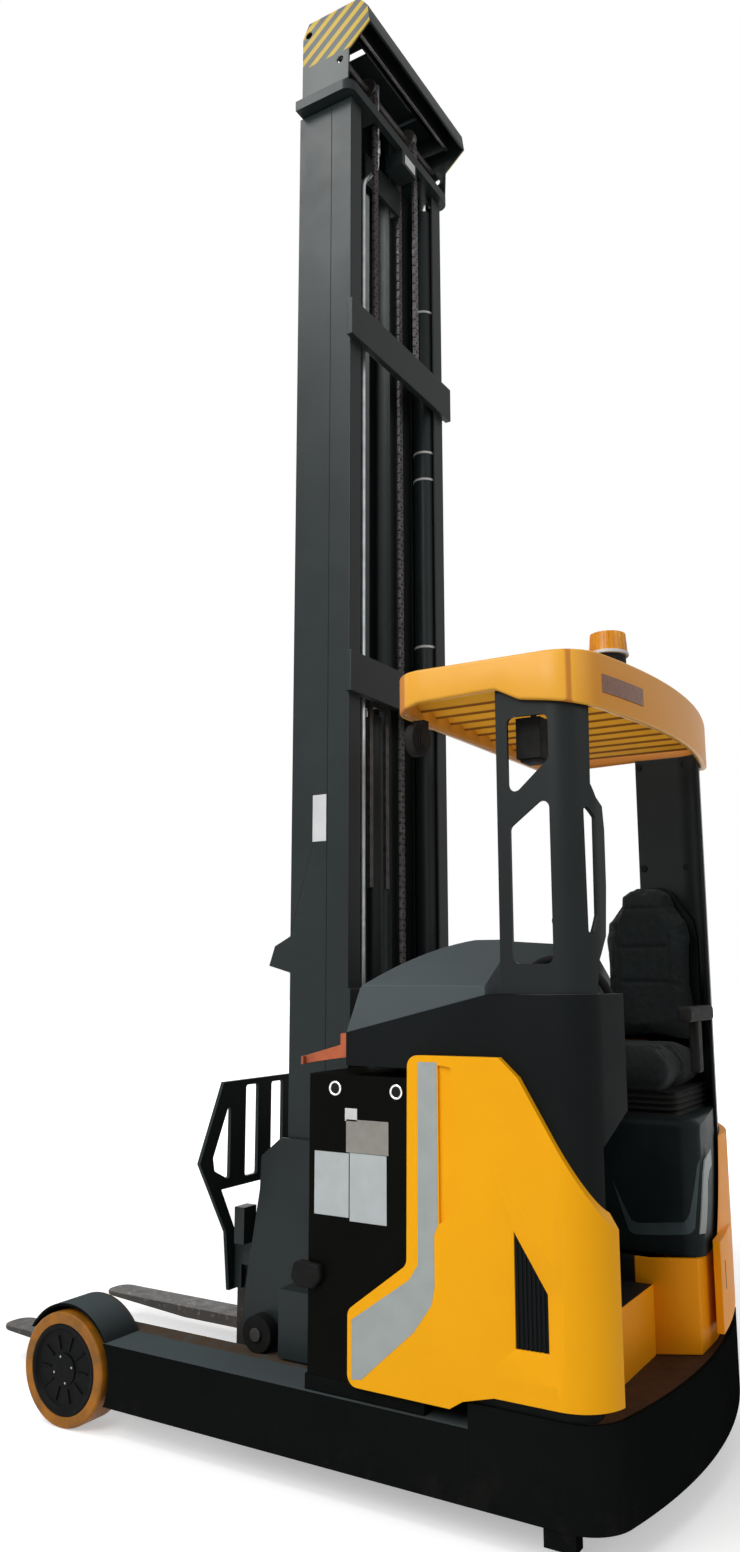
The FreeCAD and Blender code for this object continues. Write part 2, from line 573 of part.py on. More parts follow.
back_face = [(f"seat_middle - {half_seat}", "seat_floor + cushion_depth"), (f"seat_middle - {half_seat}", "seat_back_top - 150"),
             ("seat_middle - 90", "seat_back_top"), ("seat_middle + 90", "seat_back_top"),
             (f"seat_middle + {half_seat}", "seat_back_top - 150"), (f"seat_middle + {half_seat}", "seat_floor + cushion_depth")]
node(prism("seat_back", "YZ", back_face, "-545", "-425"))

# ---------------------------------------------------------------- pillars and overhead guard
roof_under = "(guard_top - guard_rim)"
left_wall = shell("left_wall", "pillar_inset", "pillar_inset + pillar_wall", "pillar_front", "console_top", roof_under)
# seen from behind, the post carries a hand grip that bows inwards
grip = [("half_width", "console_top"), ("540", "console_top"), ("529", "1395"), ("498", "1456"), ("489", "1585"), ("488", "1731"), ("495", "1794"),
        ("521", "1815"), ("540", "1850"), ("536", roof_under), ("half_width", roof_under)]
left_post = common("left_post", left_wall, prism("left_post_side", "XZ", grip, "pillar_front", "rear_end"))
upper_window = prism("upper_window", "YZ", [("pillar_front + 33", "1812"), ("pillar_front + 150", "1917"), ("pillar_front + 150", "2037"), ("pillar_front + 33", "2040")], "540", "half_width")
lower_window = prism("lower_window", "YZ", [("pillar_front + 36", "1386"), ("pillar_front + 148", "1386"), ("pillar_front + 148", "1826"), ("pillar_front + 36", "1741")], "540", "half_width")
rear_window = prism("rear_window", "XZ", [("557", "1420"), ("560", "1800"), ("526", "1762"), ("529", "1508")], "riser_back + 20", "rear_end")
for window, axis, corner in ((upper_window, V(1, 0, 0), "window_corner"), (lower_window, V(1, 0, 0), "window_corner"), (rear_window, V(0, 1, 0), "8")):
    round_off(window, corner, lambda edge, middle, axis=axis: runs_along(edge, axis))
node(less("pillar_left", less("left_post_front", less("left_post_top", left_post, upper_window), lower_window), rear_window))
right_wall = shell("right_wall", "pillar_inset", "pillar_inset + pillar_wall", "pillar_front", "deck_top", roof_under)
node(common("pillar_right", right_wall, block("right_post_side", ("-half_width", "pillar_front", "deck_top"), ("-440", "rear_end", roof_under))))

rim = new_body("rim_wall")
rim_low = "(guard_top - guard_rear_rim)"
add(rim, "XY", plan("0", "guard_front", "guard_radius"), rim_low, "guard_top")
cut(rim, "XY", plan("guard_wall", "(guard_front + guard_wall)", "(guard_radius - guard_wall)"), rim_low, "guard_top")
rim_side = [("guard_front - 5", "guard_top + 5"), ("rear_end + 5", "guard_top + 5"), ("rear_end + 5", rim_low), ("rear_end - 60", rim_low),
            ("pillar_front + 76", "guard_top - 124"), ("pillar_front + 6", roof_under), ("pillar_front - 6", roof_under),
            ("guard_front + 70", "guard_top - guard_front_rim"), ("guard_front - 5", "guard_top - guard_front_rim")]
rim_face = prism("rim_face", "YZ", rim_side, "-half_width", "half_width")
node(common("guard_rim", rim, rim_face))
slats = []
for count in range(int(number("slat_count"))):
    shift = f"({count} - (slat_count - 1) / 2) * slat_pitch"
    face = [(f"{shift} - 34", f"{roof_under} + 10"), (f"{shift} - 28", f"{roof_under} + 6"), (f"{shift} + 34", f"{roof_under} + 48"), (f"{shift} + 28", f"{roof_under} + 52")]
    slats.append(prism(f"slat_{count}", "XZ", face, "guard_front", "rear_end"))
inner_roof = prism("roof_inside", "XY", plan("guard_wall + roller_gap", "(guard_front + guard_wall + roller_gap)", "(guard_radius - guard_wall - roller_gap)"), roof_under, "guard_top")
node(common("guard_slats", fuse("slat_row", slats), inner_roof))

node(turned("beacon", [("0", "0"), ("0", "50"), ("84", "50"), ("84", "58"), ("94", "58"), ("94", "55"), ("143", "50"), ("149", "42"), ("149", "0")],
            "Z", ("beacon_side", "rear_end - 115", f"{roof_under} + 52")))
light_x, light_y, light_up = f"({body_half} - 99)", "(guard_front + 60)", f"({roof_under} - 92)"
lamp_foot = block("lamp_foot", (f"{light_x} - 42", "guard_front + guard_wall", f"{light_up} + 56"), (f"{light_x} - 12", f"{light_y} + 4", f"{light_up} + 62"))
lamp_arm = block("lamp_arm", (f"{light_x} - 42", f"{light_y} - 4", f"{light_up} + 20"), (f"{light_x} + 14", f"{light_y} + 4", f"{light_up} + 56"))
lamp_can = rod("lamp_can", "Y", (light_x, light_up), "48", f"{light_y} - 30", f"{light_y} + 10")
node(fuse("work_light", [lamp_foot, lamp_arm, lamp_can]))

# ---------------------------------------------------------------- controls
wheel = doc.addObject("Part::Torus", "wheel_rim")
wheel.Radius1 = 130
wheel.Radius2 = 12
hub = doc.addObject("Part::Cylinder", "wheel_hub")
hub.Radius = 30
hub.Height = 70
hub.Placement = FreeCAD.Placement(V(0, 0, -64), FreeCAD.Rotation())
spoke = doc.addObject("Part::Box", "wheel_spoke")
spoke.Length, spoke.Width, spoke.Height = 36, 250, 10
spoke.Placement = FreeCAD.Placement(V(-18, -125, -8), FreeCAD.Rotation())
steering = fuse("steering_wheel", [wheel, hub, spoke])
run, rise = "114", "(console_top + 76 - 1158)"
tilt = math.degrees(math.atan2(number(rise), number(run)))
steering.Placement = FreeCAD.Placement(V(), FreeCAD.Rotation(V(0, 1, 0), -tilt))
stand = f"(64.3 / sqrt({run} * {run} + {rise} * {rise}))"
for name, text in zip("xyz", (f"console_inner + 6 + 0.43 * {run} - {rise} * {stand}", f"{axle_at} + seat_middle", f"1158 + 0.43 * {rise} + {run} * {stand}")):
    steering.setExpression(f"Placement.Base.{name}", formula(text))
node(steering)
levers = [rod(f"lever_{count}", "Z", (f"-150 - {count} * 60", "hood_back - 20"), "9", "hood_top", "hood_top + 70") for count in range(4)]
node(fuse("control_levers", levers))

# ---------------------------------------------------------------- drive unit
gear_case = rod("gear_case", "Z", ("drive_side", "drive_at"), "95", "2 * drive_radius + 10", "deck_top + 77.7")
gear_leg = block("gear_leg", ("drive_side + drive_width / 2 + 6", "drive_at - 60", "drive_radius - 60"),
                 ("drive_side + drive_width / 2 + 46", "drive_at + 60", "2 * drive_radius + 12"))
gear_cap = block("gear_cap", ("drive_side - 95", "drive_at - 60", "2 * drive_radius + 10"),
                 ("drive_side + drive_width / 2 + 46", "drive_at + 60", "2 * drive_radius + 24"))
gear_shaft = rod("gear_shaft", "X", ("drive_at", "drive_radius"), "25", "drive_side - 30", "drive_side + drive_width / 2 + 10")
node(fuse("drive_gearbox", [gear_case, gear_leg, gear_cap, gear_shaft]))
node(turned("drive_wheel", [("-30.5", "0"), ("-drive_width / 2 + 20", "0"), ("-drive_width / 2 + 20", "drive_radius - 50"), ("-drive_width / 2", "drive_radius - 40"),
                            ("-drive_width / 2", "drive_radius - 6"), ("-drive_width / 2 + 6", "drive_radius"), ("drive_width / 2 - 6", "drive_radius"),
                            ("drive_width / 2", "drive_radius - 6"), ("drive_width / 2", "drive_radius - 40"), ("drive_width / 2 - 20", "drive_radius - 50"),
                            ("drive_width / 2 - 20", "25 + shaft_gap"), ("-30.5", "25 + shaft_gap")],
            "X", ("drive_side", "drive_at", "drive_radius")))

# ---------------------------------------------------------------- reach carriage and outer mast
sill_low = "(mast_foot - sill_depth)"
shoe = f"({rail_inner} - stage_gap)"
tie = block("carriage_tie", ("-mast_half", f"{mast_back} - 60", sill_low), ("mast_half", bar_back, "mast_foot"))
cover_front, cover_top = f"({mast_back} - 156)", "(leg_top + 2 * reach_roller + 90)"
sills, rollers = [], []
for side in (1, -1):
    low, high = sorted_sides(side, "mast_half - channel_width", shoe)
    sills.append(block(f"carriage_sill_{side}", (low, "carriage_front", sill_low), (high, bar_back, "mast_foot")))
    sign = f"{side} *"
    flare = [(f"{sign} mast_half", "carriage_top"), (f"{sign} (mast_half + carriage_plate)", "carriage_top"),
             (f"{sign} (mast_half + carriage_plate)", "700"), (f"{sign} {shoe}", "430"), (f"{sign} {shoe}", "mast_foot"),
             (f"{sign} ({shoe} - carriage_plate)", "mast_foot"), (f"{sign} ({shoe} - carriage_plate)", "425"), (f"{sign} mast_half", "695")]
    face = [("carriage_front - 10", "mast_foot"), ("carriage_front + 15", "800"), ("carriage_front + 90", "carriage_top"),
            (mast_back, "carriage_top"), (mast_back, "mast_foot")]
    low, high = sorted_sides(side, "mast_half", shoe)
    sills.append(common(f"carriage_plate_{side}", prism(f"carriage_flare_{side}", "XZ", flare, "carriage_front - 10", mast_back),
                        prism(f"carriage_face_{side}", "YZ", face, low, high)))
    for count, along in enumerate(("mast_front - 22", f"{mast_back} - 60")):
        centre = (along, "leg_top + reach_roller + roller_gap")
        tyre = rod(f"roller_{side}_{count}", "X", centre, "reach_roller", *sorted_sides(side, f"{rail_inner} + 6", f"{leg_inner} - 26"))
        spindle = rod(f"roller_pin_{side}_{count}", "X", centre, "18", *sorted_sides(side, shoe, f"{leg_inner} - 20"))
        rollers.append(fuse(f"reach_roller_{side}_{count}", [tyre, spindle]))
    low, high = sorted_sides(side, f"{shoe} - carriage_plate / 2", f"{leg_inner} - 13")
    sills.append(block(f"cover_web_{side}", (low, cover_front, f"{cover_top} - 10"), (high, mast_back, cover_top)))
    low, high = sorted_sides(side, f"{leg_inner} - 18", f"{leg_inner} - 13")
    sills.append(block(f"cover_side_{side}", (low, cover_front, "leg_top + 6"), (high, mast_back, cover_top)))
node(fuse("reach_carriage", [tie] + sills))
node(fuse("reach_rollers", rollers))


def outer_rail(side):
    """Channel open to the middle, with the cylinder's shelter and its lip behind."""
    lip, web, skin = "(mast_half - channel_width)", "(mast_half - channel_web)", "(mast_half - shelter_wall)"
    outline = [("mast_half", "mast_front"), ("mast_half", mast_back), (lip, mast_back), (lip, f"{mast_back} - shelter_wall"),
               (skin, f"{mast_back} - shelter_wall"), (skin, channel_back), (lip, channel_back), (lip, f"{channel_back} - channel_flange"),
               (web, f"{channel_back} - channel_flange"), (web, "mast_front + channel_flange"), (lip, "mast_front + channel_flange"),
               (lip, "mast_front")]
    return prism(f"outer_rail_{side}", "XY", [(f"{side} * {across}", along) for across, along in outline], "mast_foot", "mast_top")


def roller(label, side, radius, height, inner, outer, pin_inner, pin_outer):
    """A mast roller between two distances off the centre line, on a pin of its own span."""
    wheel = rod(f"{label}_wheel_{side}", "X", (track_middle, height), radius, *sorted_sides(side, inner, outer))
    pin = rod(f"{label}_pin_{side}", "X", (track_middle, height), "20", *sorted_sides(side, pin_inner, pin_outer))
    return fuse(f"{label}_{side}", [wheel, pin])


web_out, web_in = f"({middle_outer} - middle_width / 2 + channel_web / 2)", f"({middle_outer} - middle_width / 2 - channel_web / 2)"
outer_pieces = [outer_rail(1), outer_rail(-1)]
for side in (1, -1):
    outer_pieces.append(roller("outer_top_roller", side, stage_roller, "mast_top - 90", f"{web_out} + 4", f"{middle_outer} - 4",
                               f"{web_out} + 4", "mast_half - channel_web"))
for level in (940, 2015, 3265):
    outer_pieces.append(block(f"outer_bar_{level}", ("-bar_half", mast_back, f"mast_foot + {level}"), ("bar_half", bar_back, f"mast_foot + {level} + bar_height")))
lug_face = [("mast_front", "1480"), ("mast_front - 61", "1449"), ("mast_front - 83", "1386"), ("mast_front", "1364")]
outer_pieces.append(prism("mast_lug", "YZ", lug_face, "mast_half - channel_web", "mast_half"))
node(fuse("outer_mast", outer_pieces))

# main lift cylinders in the shelters, their rods up to the collar
cylinder_side = "(mast_half - shelter_wall - barrel_gap - barrel_radius)"
cylinder_at = f"({channel_back} + barrel_gap + barrel_radius)"
barrels, rods = [], []
for side in (1, -1):
    centre = (f"{side} * {cylinder_side}", cylinder_at)
    skin = rod(f"barrel_skin_{side}", "Z", centre, "barrel_radius", "mast_foot", "mast_top - 70")
    bore = rod(f"barrel_bore_{side}", "Z", centre, "rod_radius + shaft_gap", "mast_foot + 30", "mast_top - 69")
    barrels.append(less(f"barrel_{side}", skin, bore))
    rods.append(rod(f"lift_rod_{side}", "Z", centre, "rod_radius", "mast_foot + 35", "collar_low"))
node(fuse("lift_cylinders", barrels))
node(fuse("lift_rods", rods))

# ---------------------------------------------------------------- middle mast
middle_foot = "(mast_foot + 10)"
collar_top = "(collar_low + collar_high)"
cheek = "(collar_half - 4)"


def middle_rail(side):
    """An I-shaped rail: its outer side takes the outer mast's roller, its inner side carries the inner stage's."""
    body = new_body(f"middle_rail_{side}")
    low, high = sorted_sides(side, middle_inner, middle_outer)
    add(body, "XY", box(low, high, stage_front, stage_back), middle_foot, "collar_low")
    for inner_edge, outer_edge in ((middle_inner, web_in), (web_out, middle_outer)):
        low, high = sorted_sides(side, inner_edge, outer_edge)
        cut(body, "XY", box(low, high, f"{stage_front} + channel_flange", f"{stage_back} - channel_flange"), middle_foot, "collar_low")
    return body


collar = new_body("collar")
add(collar, "XY", box("-collar_half", "collar_half", stage_front, "collar_back"), "collar_low", collar_top)
cut(collar, "XY", box(f"-{middle_inner}", middle_inner, stage_front, "collar_back - bar_depth"), "collar_low", collar_top)
round_off(collar, "40", lambda edge, middle: runs_along(edge, V(0, 0, 1)) and middle.y > number("collar_back") - 1)
middle_pieces = [collar]
head_ahead = [("mast_front + 33", collar_top), ("mast_front + 33", "mast_height - 53"), ("mast_front + 60", "mast_height")]
head_behind = [("collar_back + 33", "mast_height"), ("collar_back + 67", "mast_height - 45"), ("collar_back + 76", "mast_height - 111")]
head_face = head_ahead + head_behind + [("collar_back - 10", "mast_height - 184"), ("collar_back - 14", collar_top)]
roof_edge = "(chain_front + 60)"
head_front = head_ahead + [(roof_edge, "mast_height"), (roof_edge, "mast_height - head_wall"), ("mast_front + 65", "mast_height - head_wall"),
                           ("mast_front + 33 + head_wall", "mast_height - 55"), ("mast_front + 33 + head_wall", collar_top)]
head_rear = [(roof_edge, "mast_height")] + head_behind + [("collar_back + 76 - head_wall", "mast_height - 111"),
             ("collar_back + 67 - head_wall", "mast_height - 47"), ("collar_back + 29", "mast_height - head_wall"),
             (roof_edge, "mast_height - head_wall")]
for side in (1, -1):
    middle_pieces.append(middle_rail(side))
    middle_pieces.append(roller("middle_roller", side, outer_roller, f"{middle_foot} + 60", f"{middle_outer} + 8", "mast_half - channel_web - 4",
                                web_in, "mast_half - channel_web - 4"))
    low, high = sorted_sides(side, f"{cheek} - head_wall", cheek)
    middle_pieces.append(prism(f"head_cheek_{side}", "YZ", head_face, low, high))
    low, high = sorted_sides(side, f"{middle_inner} + stage_gap", cheek)
    middle_pieces.append(prism(f"head_sheet_{side}", "YZ", head_front, low, high))
    low, high = sorted_sides(side, middle_inner, f"{web_out} + 4")
    middle_pieces.append(block(f"foot_arm_{side}", (low, stage_back, f"{middle_foot} + 10"), (high, "chain_front + 60", f"{middle_foot} + 110")))
middle_pieces.append(block("foot_bar", (f"-{middle_inner}", "chain_front + 45", f"{middle_foot} + 10"), (middle_inner, "chain_front + 60", f"{middle_foot} + 110")))
middle_pieces.append(prism("head_roof", "YZ", head_rear, f"-{cheek}", cheek))
middle_pieces.append(block("head_beam", (f"head_wall - {cheek}", "collar_back + 4", "mast_height - 87"), (f"{cheek} - head_wall", "collar_back + 12", "mast_height - head_wall")))
middle_pieces.append(block("hose_guide", ("-100", "collar_back - 76", "collar_low - 58"), ("8", "collar_back", "collar_low")))
node(fuse("middle_mast", middle_pieces))

# lift chains over their sheaves: front strands to the inner stage's foot, rear strands to a crossbar
sheave_at = "(chain_front + chain_thick / 2 + sheave_radius)"
sheave_up = f"({collar_top} + 140)"
chain_pieces = [rod("sheave_shaft", "X", (sheave_at, sheave_up), "12", f"head_wall - {cheek}", f"{cheek} - head_wall")]
for side in (1, -1):
    low, high = sorted_sides(side, f"{chain_side} - chain_width / 2", f"{chain_side} + chain_width / 2")
    chain_pieces.append(rod(f"sheave_{side}", "X", (sheave_at, sheave_up), "sheave_radius + chain_thick / 2", low, high))
    chain_pieces.append(block(f"front_strand_{side}", (low, "chain_front", f"{middle_foot} + 120"), (high, "chain_front + chain_thick", sheave_up)))
    chain_pieces.append(block(f"rear_strand_{side}", (low, "chain_front + 2 * sheave_radius", "mast_foot + 3265 + bar_height + 10"),
                              (high, "chain_front + 2 * sheave_radius + chain_thick", sheave_up)))
node(fuse("lift_chains", chain_pieces))

# ---------------------------------------------------------------- inner mast and free lift
inner_foot = "(mast_foot + 20)"
inner_top = "(mast_height - 28)"
bridge_front = "(free_at + free_radius + 1)"


def inner_rail(side):
    """A channel open to the middle, that the fork carriage's rollers run in."""
    body = new_body(f"inner_rail_{side}")
    low, high = sorted_sides(side, inner_inner, inner_outer)
    add(body, "XY", box(low, high, stage_front, stage_back), inner_foot, inner_top)
    low, high = sorted_sides(side, inner_inner, f"{inner_outer} - channel_web")
    cut(body, "XY", box(low, high, f"{stage_front} + channel_flange", f"{stage_back} - channel_flange"), inner_foot, inner_top)
    return body


inner_pieces = []
for side in (1, -1):
    inner_pieces.append(inner_rail(side))
    inner_pieces.append(roller("inner_roller", side, stage_roller, f"{inner_foot} + 60", f"{middle_inner} + 4", f"{web_in} - 4",
                               f"{inner_outer} - channel_web", f"{web_in} - 4"))
for level in (20, 2040, 4030):
    outline = [(f"-{inner_inner} - 20", stage_back), (f"-{inner_inner} - 20", f"{bridge_front} + 12"), (f"{inner_inner} + 20", f"{bridge_front} + 12"),
               (f"{inner_inner} + 20", stage_back), (f"{inner_inner} + 2", stage_back), (f"{inner_inner} + 2", bridge_front),
               (f"-{inner_inner} - 2", bridge_front), (f"-{inner_inner} - 2", stage_back)]
    inner_pieces.append(prism(f"inner_bridge_{level}", "XY", outline, f"{inner_foot} + {level}", f"{inner_foot} + {level} + 110"))
inner_pieces.append(block("inner_cap", (f"-{inner_outer}", stage_front, inner_top), (inner_outer, f"{roof_edge} - head_wall", f"{inner_top} + 8")))
inner_pieces.append(block("inner_brow", (f"-{inner_inner} - 2", f"{stage_front} + 4", "collar_low - 20"), (f"{inner_inner} + 2", f"{stage_front} + 10", inner_top)))
inner_pieces.append(block("free_lift_shelf", (f"-{inner_inner} - 3", "free_at - 26", f"{inner_foot} + 20"), (f"{inner_inner} + 3", f"{bridge_front} + 1", f"{inner_foot} + 50")))
node(fuse("inner_mast", inner_pieces))

free_foot = f"({inner_foot} + 50)"
free_skin = rod("free_skin", "Z", ("0", "free_at"), "free_radius", free_foot, "free_top")
free_bore = rod("free_bore", "Z", ("0", "free_at"), "free_rod_radius + shaft_gap", f"{free_foot} + 30", "free_top + 1")
node(less("free_lift_cylinder", free_skin, free_bore))
node(rod("free_lift_rod", "Z", ("0", "free_at"), "free_rod_radius", f"{free_foot} + 60", "free_top + 30"))
head_at, head_up = "(free_at - 16)", "(free_top + 90)"
free_head = [block("free_head_block", ("-40", "free_at - 28", "free_top + 30"), ("40", "free_at + 24", "free_top + 60")),
             block("free_head_post", ("-34", f"{head_at} - 20", "free_top + 60"), ("34", f"{head_at} + 20", "free_top + 125")),
             rod("free_head_pin", "X", (head_at, head_up), "12", "-76", "76")]
for side in (1, -1):
    low, high = sorted_sides(side, "42", "66")
    free_head.append(rod(f"free_sheave_{side}", "X", (head_at, head_up), "sheave_radius + chain_thick / 2", low, high))
    free_head.append(block(f"free_front_strand_{side}", (low, f"{head_at} - sheave_radius - chain_thick / 2", "700"),
                           (high, f"{head_at} - sheave_radius + chain_thick / 2", head_up)))
    free_head.append(block(f"free_rear_strand_{side}", (low, f"{head_at} + sheave_radius - chain_thick / 2", "free_top - 600"),
                           (high, f"{head_at} + sheave_radius + chain_thick / 2", head_up)))
node(fuse("free_lift_head", free_head))

# ---------------------------------------------------------------- fork carriage
carriage_back = "(mast_front - 12)"
fork_back = "(fork_face + fork_thick)"
plate_low, plate_high = "(fork_top + 40)", "(fork_top + 420)"
tilt_back = f"({carriage_back} - 36)"
tilt_front = f"({tilt_back} - 26)"
tilt_axis = (f"({tilt_back} - 13)", f"({plate_high} - 30)")
lift_pieces = [block("lift_plate", (f"-{middle_outer}", f"{carriage_back} - 16", plate_low), (middle_outer, carriage_back, plate_high))]
for side in (1, -1):
    low, high = sorted_sides(side, f"{inner_inner} - 22", f"{inner_inner} - 6")
    lift_pieces.append(block(f"guide_{side}", (low, f"{carriage_back} - 16", f"{inner_foot} + 42"), (high, "free_at - 34", f"{inner_foot} + 540")))
    for count, height in enumerate((90, 480)):
        lift_pieces.append(roller(f"carriage_roller_{count}", side, stage_roller, f"{inner_foot} + {height}", f"{inner_inner} + 4",
                                  f"{inner_outer} - channel_web - 4", f"{inner_inner} - 10", f"{inner_outer} - channel_web - 4"))
    low, high = sorted_sides(side, f"{middle_outer} - 16", middle_outer)
    lift_pieces.append(block(f"tilt_ear_{side}", (low, f"{tilt_axis[0]} - 24", f"{tilt_axis[1]} - 24"), (high, f"{carriage_back} - 16", f"{tilt_axis[1]} + 24")))
    lift_pieces.append(rod(f"tilt_pin_{side}", "X", tilt_axis, "12", *sorted_sides(side, f"{middle_outer} - 46", f"{middle_outer} - 12")))
node(fuse("lift_carriage", lift_pieces))
tilt_half = f"({middle_outer} - 22)"
tilt_plate = block("tilt_plate", (f"-{tilt_half}", tilt_front, plate_low), (tilt_half, tilt_back, tilt_axis[1]))
tilt_tube = rod("tilt_tube", "X", tilt_axis, "24", f"-{tilt_half}", tilt_half)
tilt_bore = rod("tilt_bore", "X", tilt_axis, "12 + shaft_gap", f"-{tilt_half} - 1", f"{tilt_half} + 1")
node(less("tilt_carriage", fuse("tilt_solid", [tilt_plate, tilt_tube]), tilt_bore))
shift_pieces = [block("fork_bar_low", ("-350", f"{fork_back} + roller_gap", "fork_top + 40"), ("350", f"{fork_back} + 40", "fork_top + 110")),
                block("fork_bar_top", ("-350", f"{fork_back} + roller_gap", "shank_top - 90"), ("350", f"{fork_back} + 40", "shank_top - 20"))]
for side in (1, -1):
    low, high = sorted_sides(side, "150", "210")
    shift_pieces.append(block(f"stile_{side}", (low, f"{fork_back} + 20", "fork_top + 90"), (high, f"{tilt_front} - roller_gap", "shank_top - 78")))
shift_pieces.append(block("valve_block", ("330", f"{fork_back} + 2", "shank_top - 20"), ("392", f"{fork_back} + 40", "shank_top + 88")))
shift_pieces.append(block("valve_foot", ("330", f"{fork_back} + 2", "shank_top - 40"), ("350", f"{fork_back} + 40", "shank_top - 20")))
node(fuse("side_shifter", shift_pieces))


def fork(label, side):
    """One fork: tapered blade with a thin rounded tip, and its shank with the upper hook."""
    body = new_body(label)
    low, high = f"{side} * fork_side - fork_width / 2", f"{side} * fork_side + fork_width / 2"
    tip = "(fork_face - fork_length)"
    add(body, "YZ", [(fork_back, "fork_top - fork_thick"), (fork_back, "shank_top"), ("fork_face", "shank_top"), ("fork_face", "fork_top"),
                     (tip, "fork_top"), (tip, "fork_top - 12"), (f"{tip} + 420", "fork_top - fork_thick")], low, high)
    add(body, "YZ", box(f"{fork_back} - 1", f"{fork_back} + 34", "shank_top - 20 + roller_gap", "shank_top"), low, high)
    round_off(body, "fork_width * 0.42", lambda edge, middle: runs_along(edge, V(0, 0, 1)) and abs(middle.y - number(tip)) < 1)
    return body


node(fork("fork_left", 1))
node(fork("fork_right", -1))

# load backrest: bent side bars, top bar, lower bar, upright bars
back_of_grid = "(fork_face + 2 + backrest_thick)"
half = [("330", "396"), ("376", "396"), ("396", "570"), ("backrest_wide", "790"), ("422", "backrest_top")]
mirrored = [(f"-{across}" if across != "330" else "-330", up) for across, up in reversed(half)]
grid = new_body("backrest_grid")
add(grid, "XZ", half + mirrored, "fork_face + 2", back_of_grid)
side_window = [("384", "724"), ("backrest_wide - 70", "760"), ("backrest_wide - 62", "800"), ("384", "backrest_top - 50")]
for side in (1, -1):
    cut(grid, "XZ", [(f"{side} * ({across})", up) for across, up in side_window], "fork_face + 1", f"{back_of_grid} + 1")
for count in (-2, -1, 0, 1, 2):
    cut(grid, "XZ", box(f"{count} * 137 - 33", f"{count} * 137 + 33", "724", "backrest_top - 18"), "fork_face + 1", f"{back_of_grid} + 1")
lower = [("-330", "396"), ("330", "396"), ("346", "560"), ("424", "700"), ("-424", "700"), ("-346", "560")]
cut(grid, "XZ", lower, "fork_face + 1", f"{back_of_grid} + 1")
round_off(grid, "9", lambda edge, middle: runs_along(edge, V(0, 1, 0)) and 710 < middle.z < number("backrest_top - 10"))
lugs = [block(f"backrest_lug_{side}", (sorted_sides(side, "330", "350")[0], back_of_grid, "400"), (sorted_sides(side, "330", "350")[1], f"{fork_back} + roller_gap", "540")) for side in (1, -1)]
node(fuse("load_backrest", [grid] + lugs))

# reach cylinder under the battery, its rod to the carriage's tie
reach_x, reach_z = "reach_side", "(leg_top - 34)"
reach_skin = rod("reach_skin", "Y", (reach_x, reach_z), "32", "battery_front + 30", "battery_front + 660")
reach_bore = rod("reach_bore", "Y", (reach_x, reach_z), "20 + shaft_gap", "battery_front + 29", "battery_front + 645")
saddles = [block(f"reach_saddle_{count}", (f"{reach_x} - 40", along, f"{reach_z} + 10"), (f"{reach_x} + 40", f"{along} + 40", "leg_top")) for count, along in enumerate(("battery_front + 50", f"{battery_back} - 60"))]
node(less("reach_cylinder", fuse("reach_solid", [reach_skin] + saddles), reach_bore))
node(rod("reach_rod", "Y", (reach_x, reach_z), "20", bar_back, "battery_front + 640"))

doc.recompute()
os.makedirs("parts", exist_ok=True)
for made in nodes:
    for piece in [made] + made.OutListRecursive:
        if {"Invalid", "Error"} & set(piece.State):
            raise RuntimeError(f"{made.Label}: {piece.Label} failed")
    if made.Shape.isNull() or not made.Shape.isValid():
        raise RuntimeError(f"{made.Label} has no valid shape")
for made in nodes:
    made.Shape.exportStep(f"parts/{made.Label}.step")
    print(made.Label, len(made.Shape.Solids), [round(value) for value in (made.Shape.BoundBox.XMin, made.Shape.BoundBox.YMin, made.Shape.BoundBox.ZMin, made.Shape.BoundBox.XMax, made.Shape.BoundBox.YMax, made.Shape.BoundBox.ZMax)])
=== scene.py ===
# Sit-on reach truck: its looks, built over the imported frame.
import json
import math

import bmesh
import bpy
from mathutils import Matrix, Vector


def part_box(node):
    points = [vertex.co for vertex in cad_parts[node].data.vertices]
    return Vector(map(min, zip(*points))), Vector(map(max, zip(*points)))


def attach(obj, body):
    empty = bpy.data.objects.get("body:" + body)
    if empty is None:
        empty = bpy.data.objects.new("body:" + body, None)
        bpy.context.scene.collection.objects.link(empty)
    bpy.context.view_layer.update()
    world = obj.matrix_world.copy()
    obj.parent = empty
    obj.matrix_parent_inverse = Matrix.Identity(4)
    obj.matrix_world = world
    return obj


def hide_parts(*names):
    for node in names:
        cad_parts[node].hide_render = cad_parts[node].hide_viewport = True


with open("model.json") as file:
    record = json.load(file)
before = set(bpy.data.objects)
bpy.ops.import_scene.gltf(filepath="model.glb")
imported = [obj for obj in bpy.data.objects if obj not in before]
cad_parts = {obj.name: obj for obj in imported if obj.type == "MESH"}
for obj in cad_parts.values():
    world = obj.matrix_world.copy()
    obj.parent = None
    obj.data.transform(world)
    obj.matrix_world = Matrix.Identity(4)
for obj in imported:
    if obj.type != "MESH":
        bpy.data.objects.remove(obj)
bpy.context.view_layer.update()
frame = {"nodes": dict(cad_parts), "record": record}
nodes = frame["nodes"]
axleY = sum(corner.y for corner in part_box("load_hub_left")) / 2


def at(across, along, up):  # along is measured back from the load wheels' axle
    return Vector((across, along + axleY, up))


print("frame loaded,", len(nodes), "nodes")


# ---- shader nodes
def mathNode(tree, operation, first, second=None):
    made = tree.nodes.new("ShaderNodeMath")
    made.operation = operation
    for socket, value in zip(made.inputs, (first, second)):
        if isinstance(value, (int, float)):
            socket.default_value = value
        elif value is not None:
            tree.links.new(value, socket)
    return made.outputs[0]


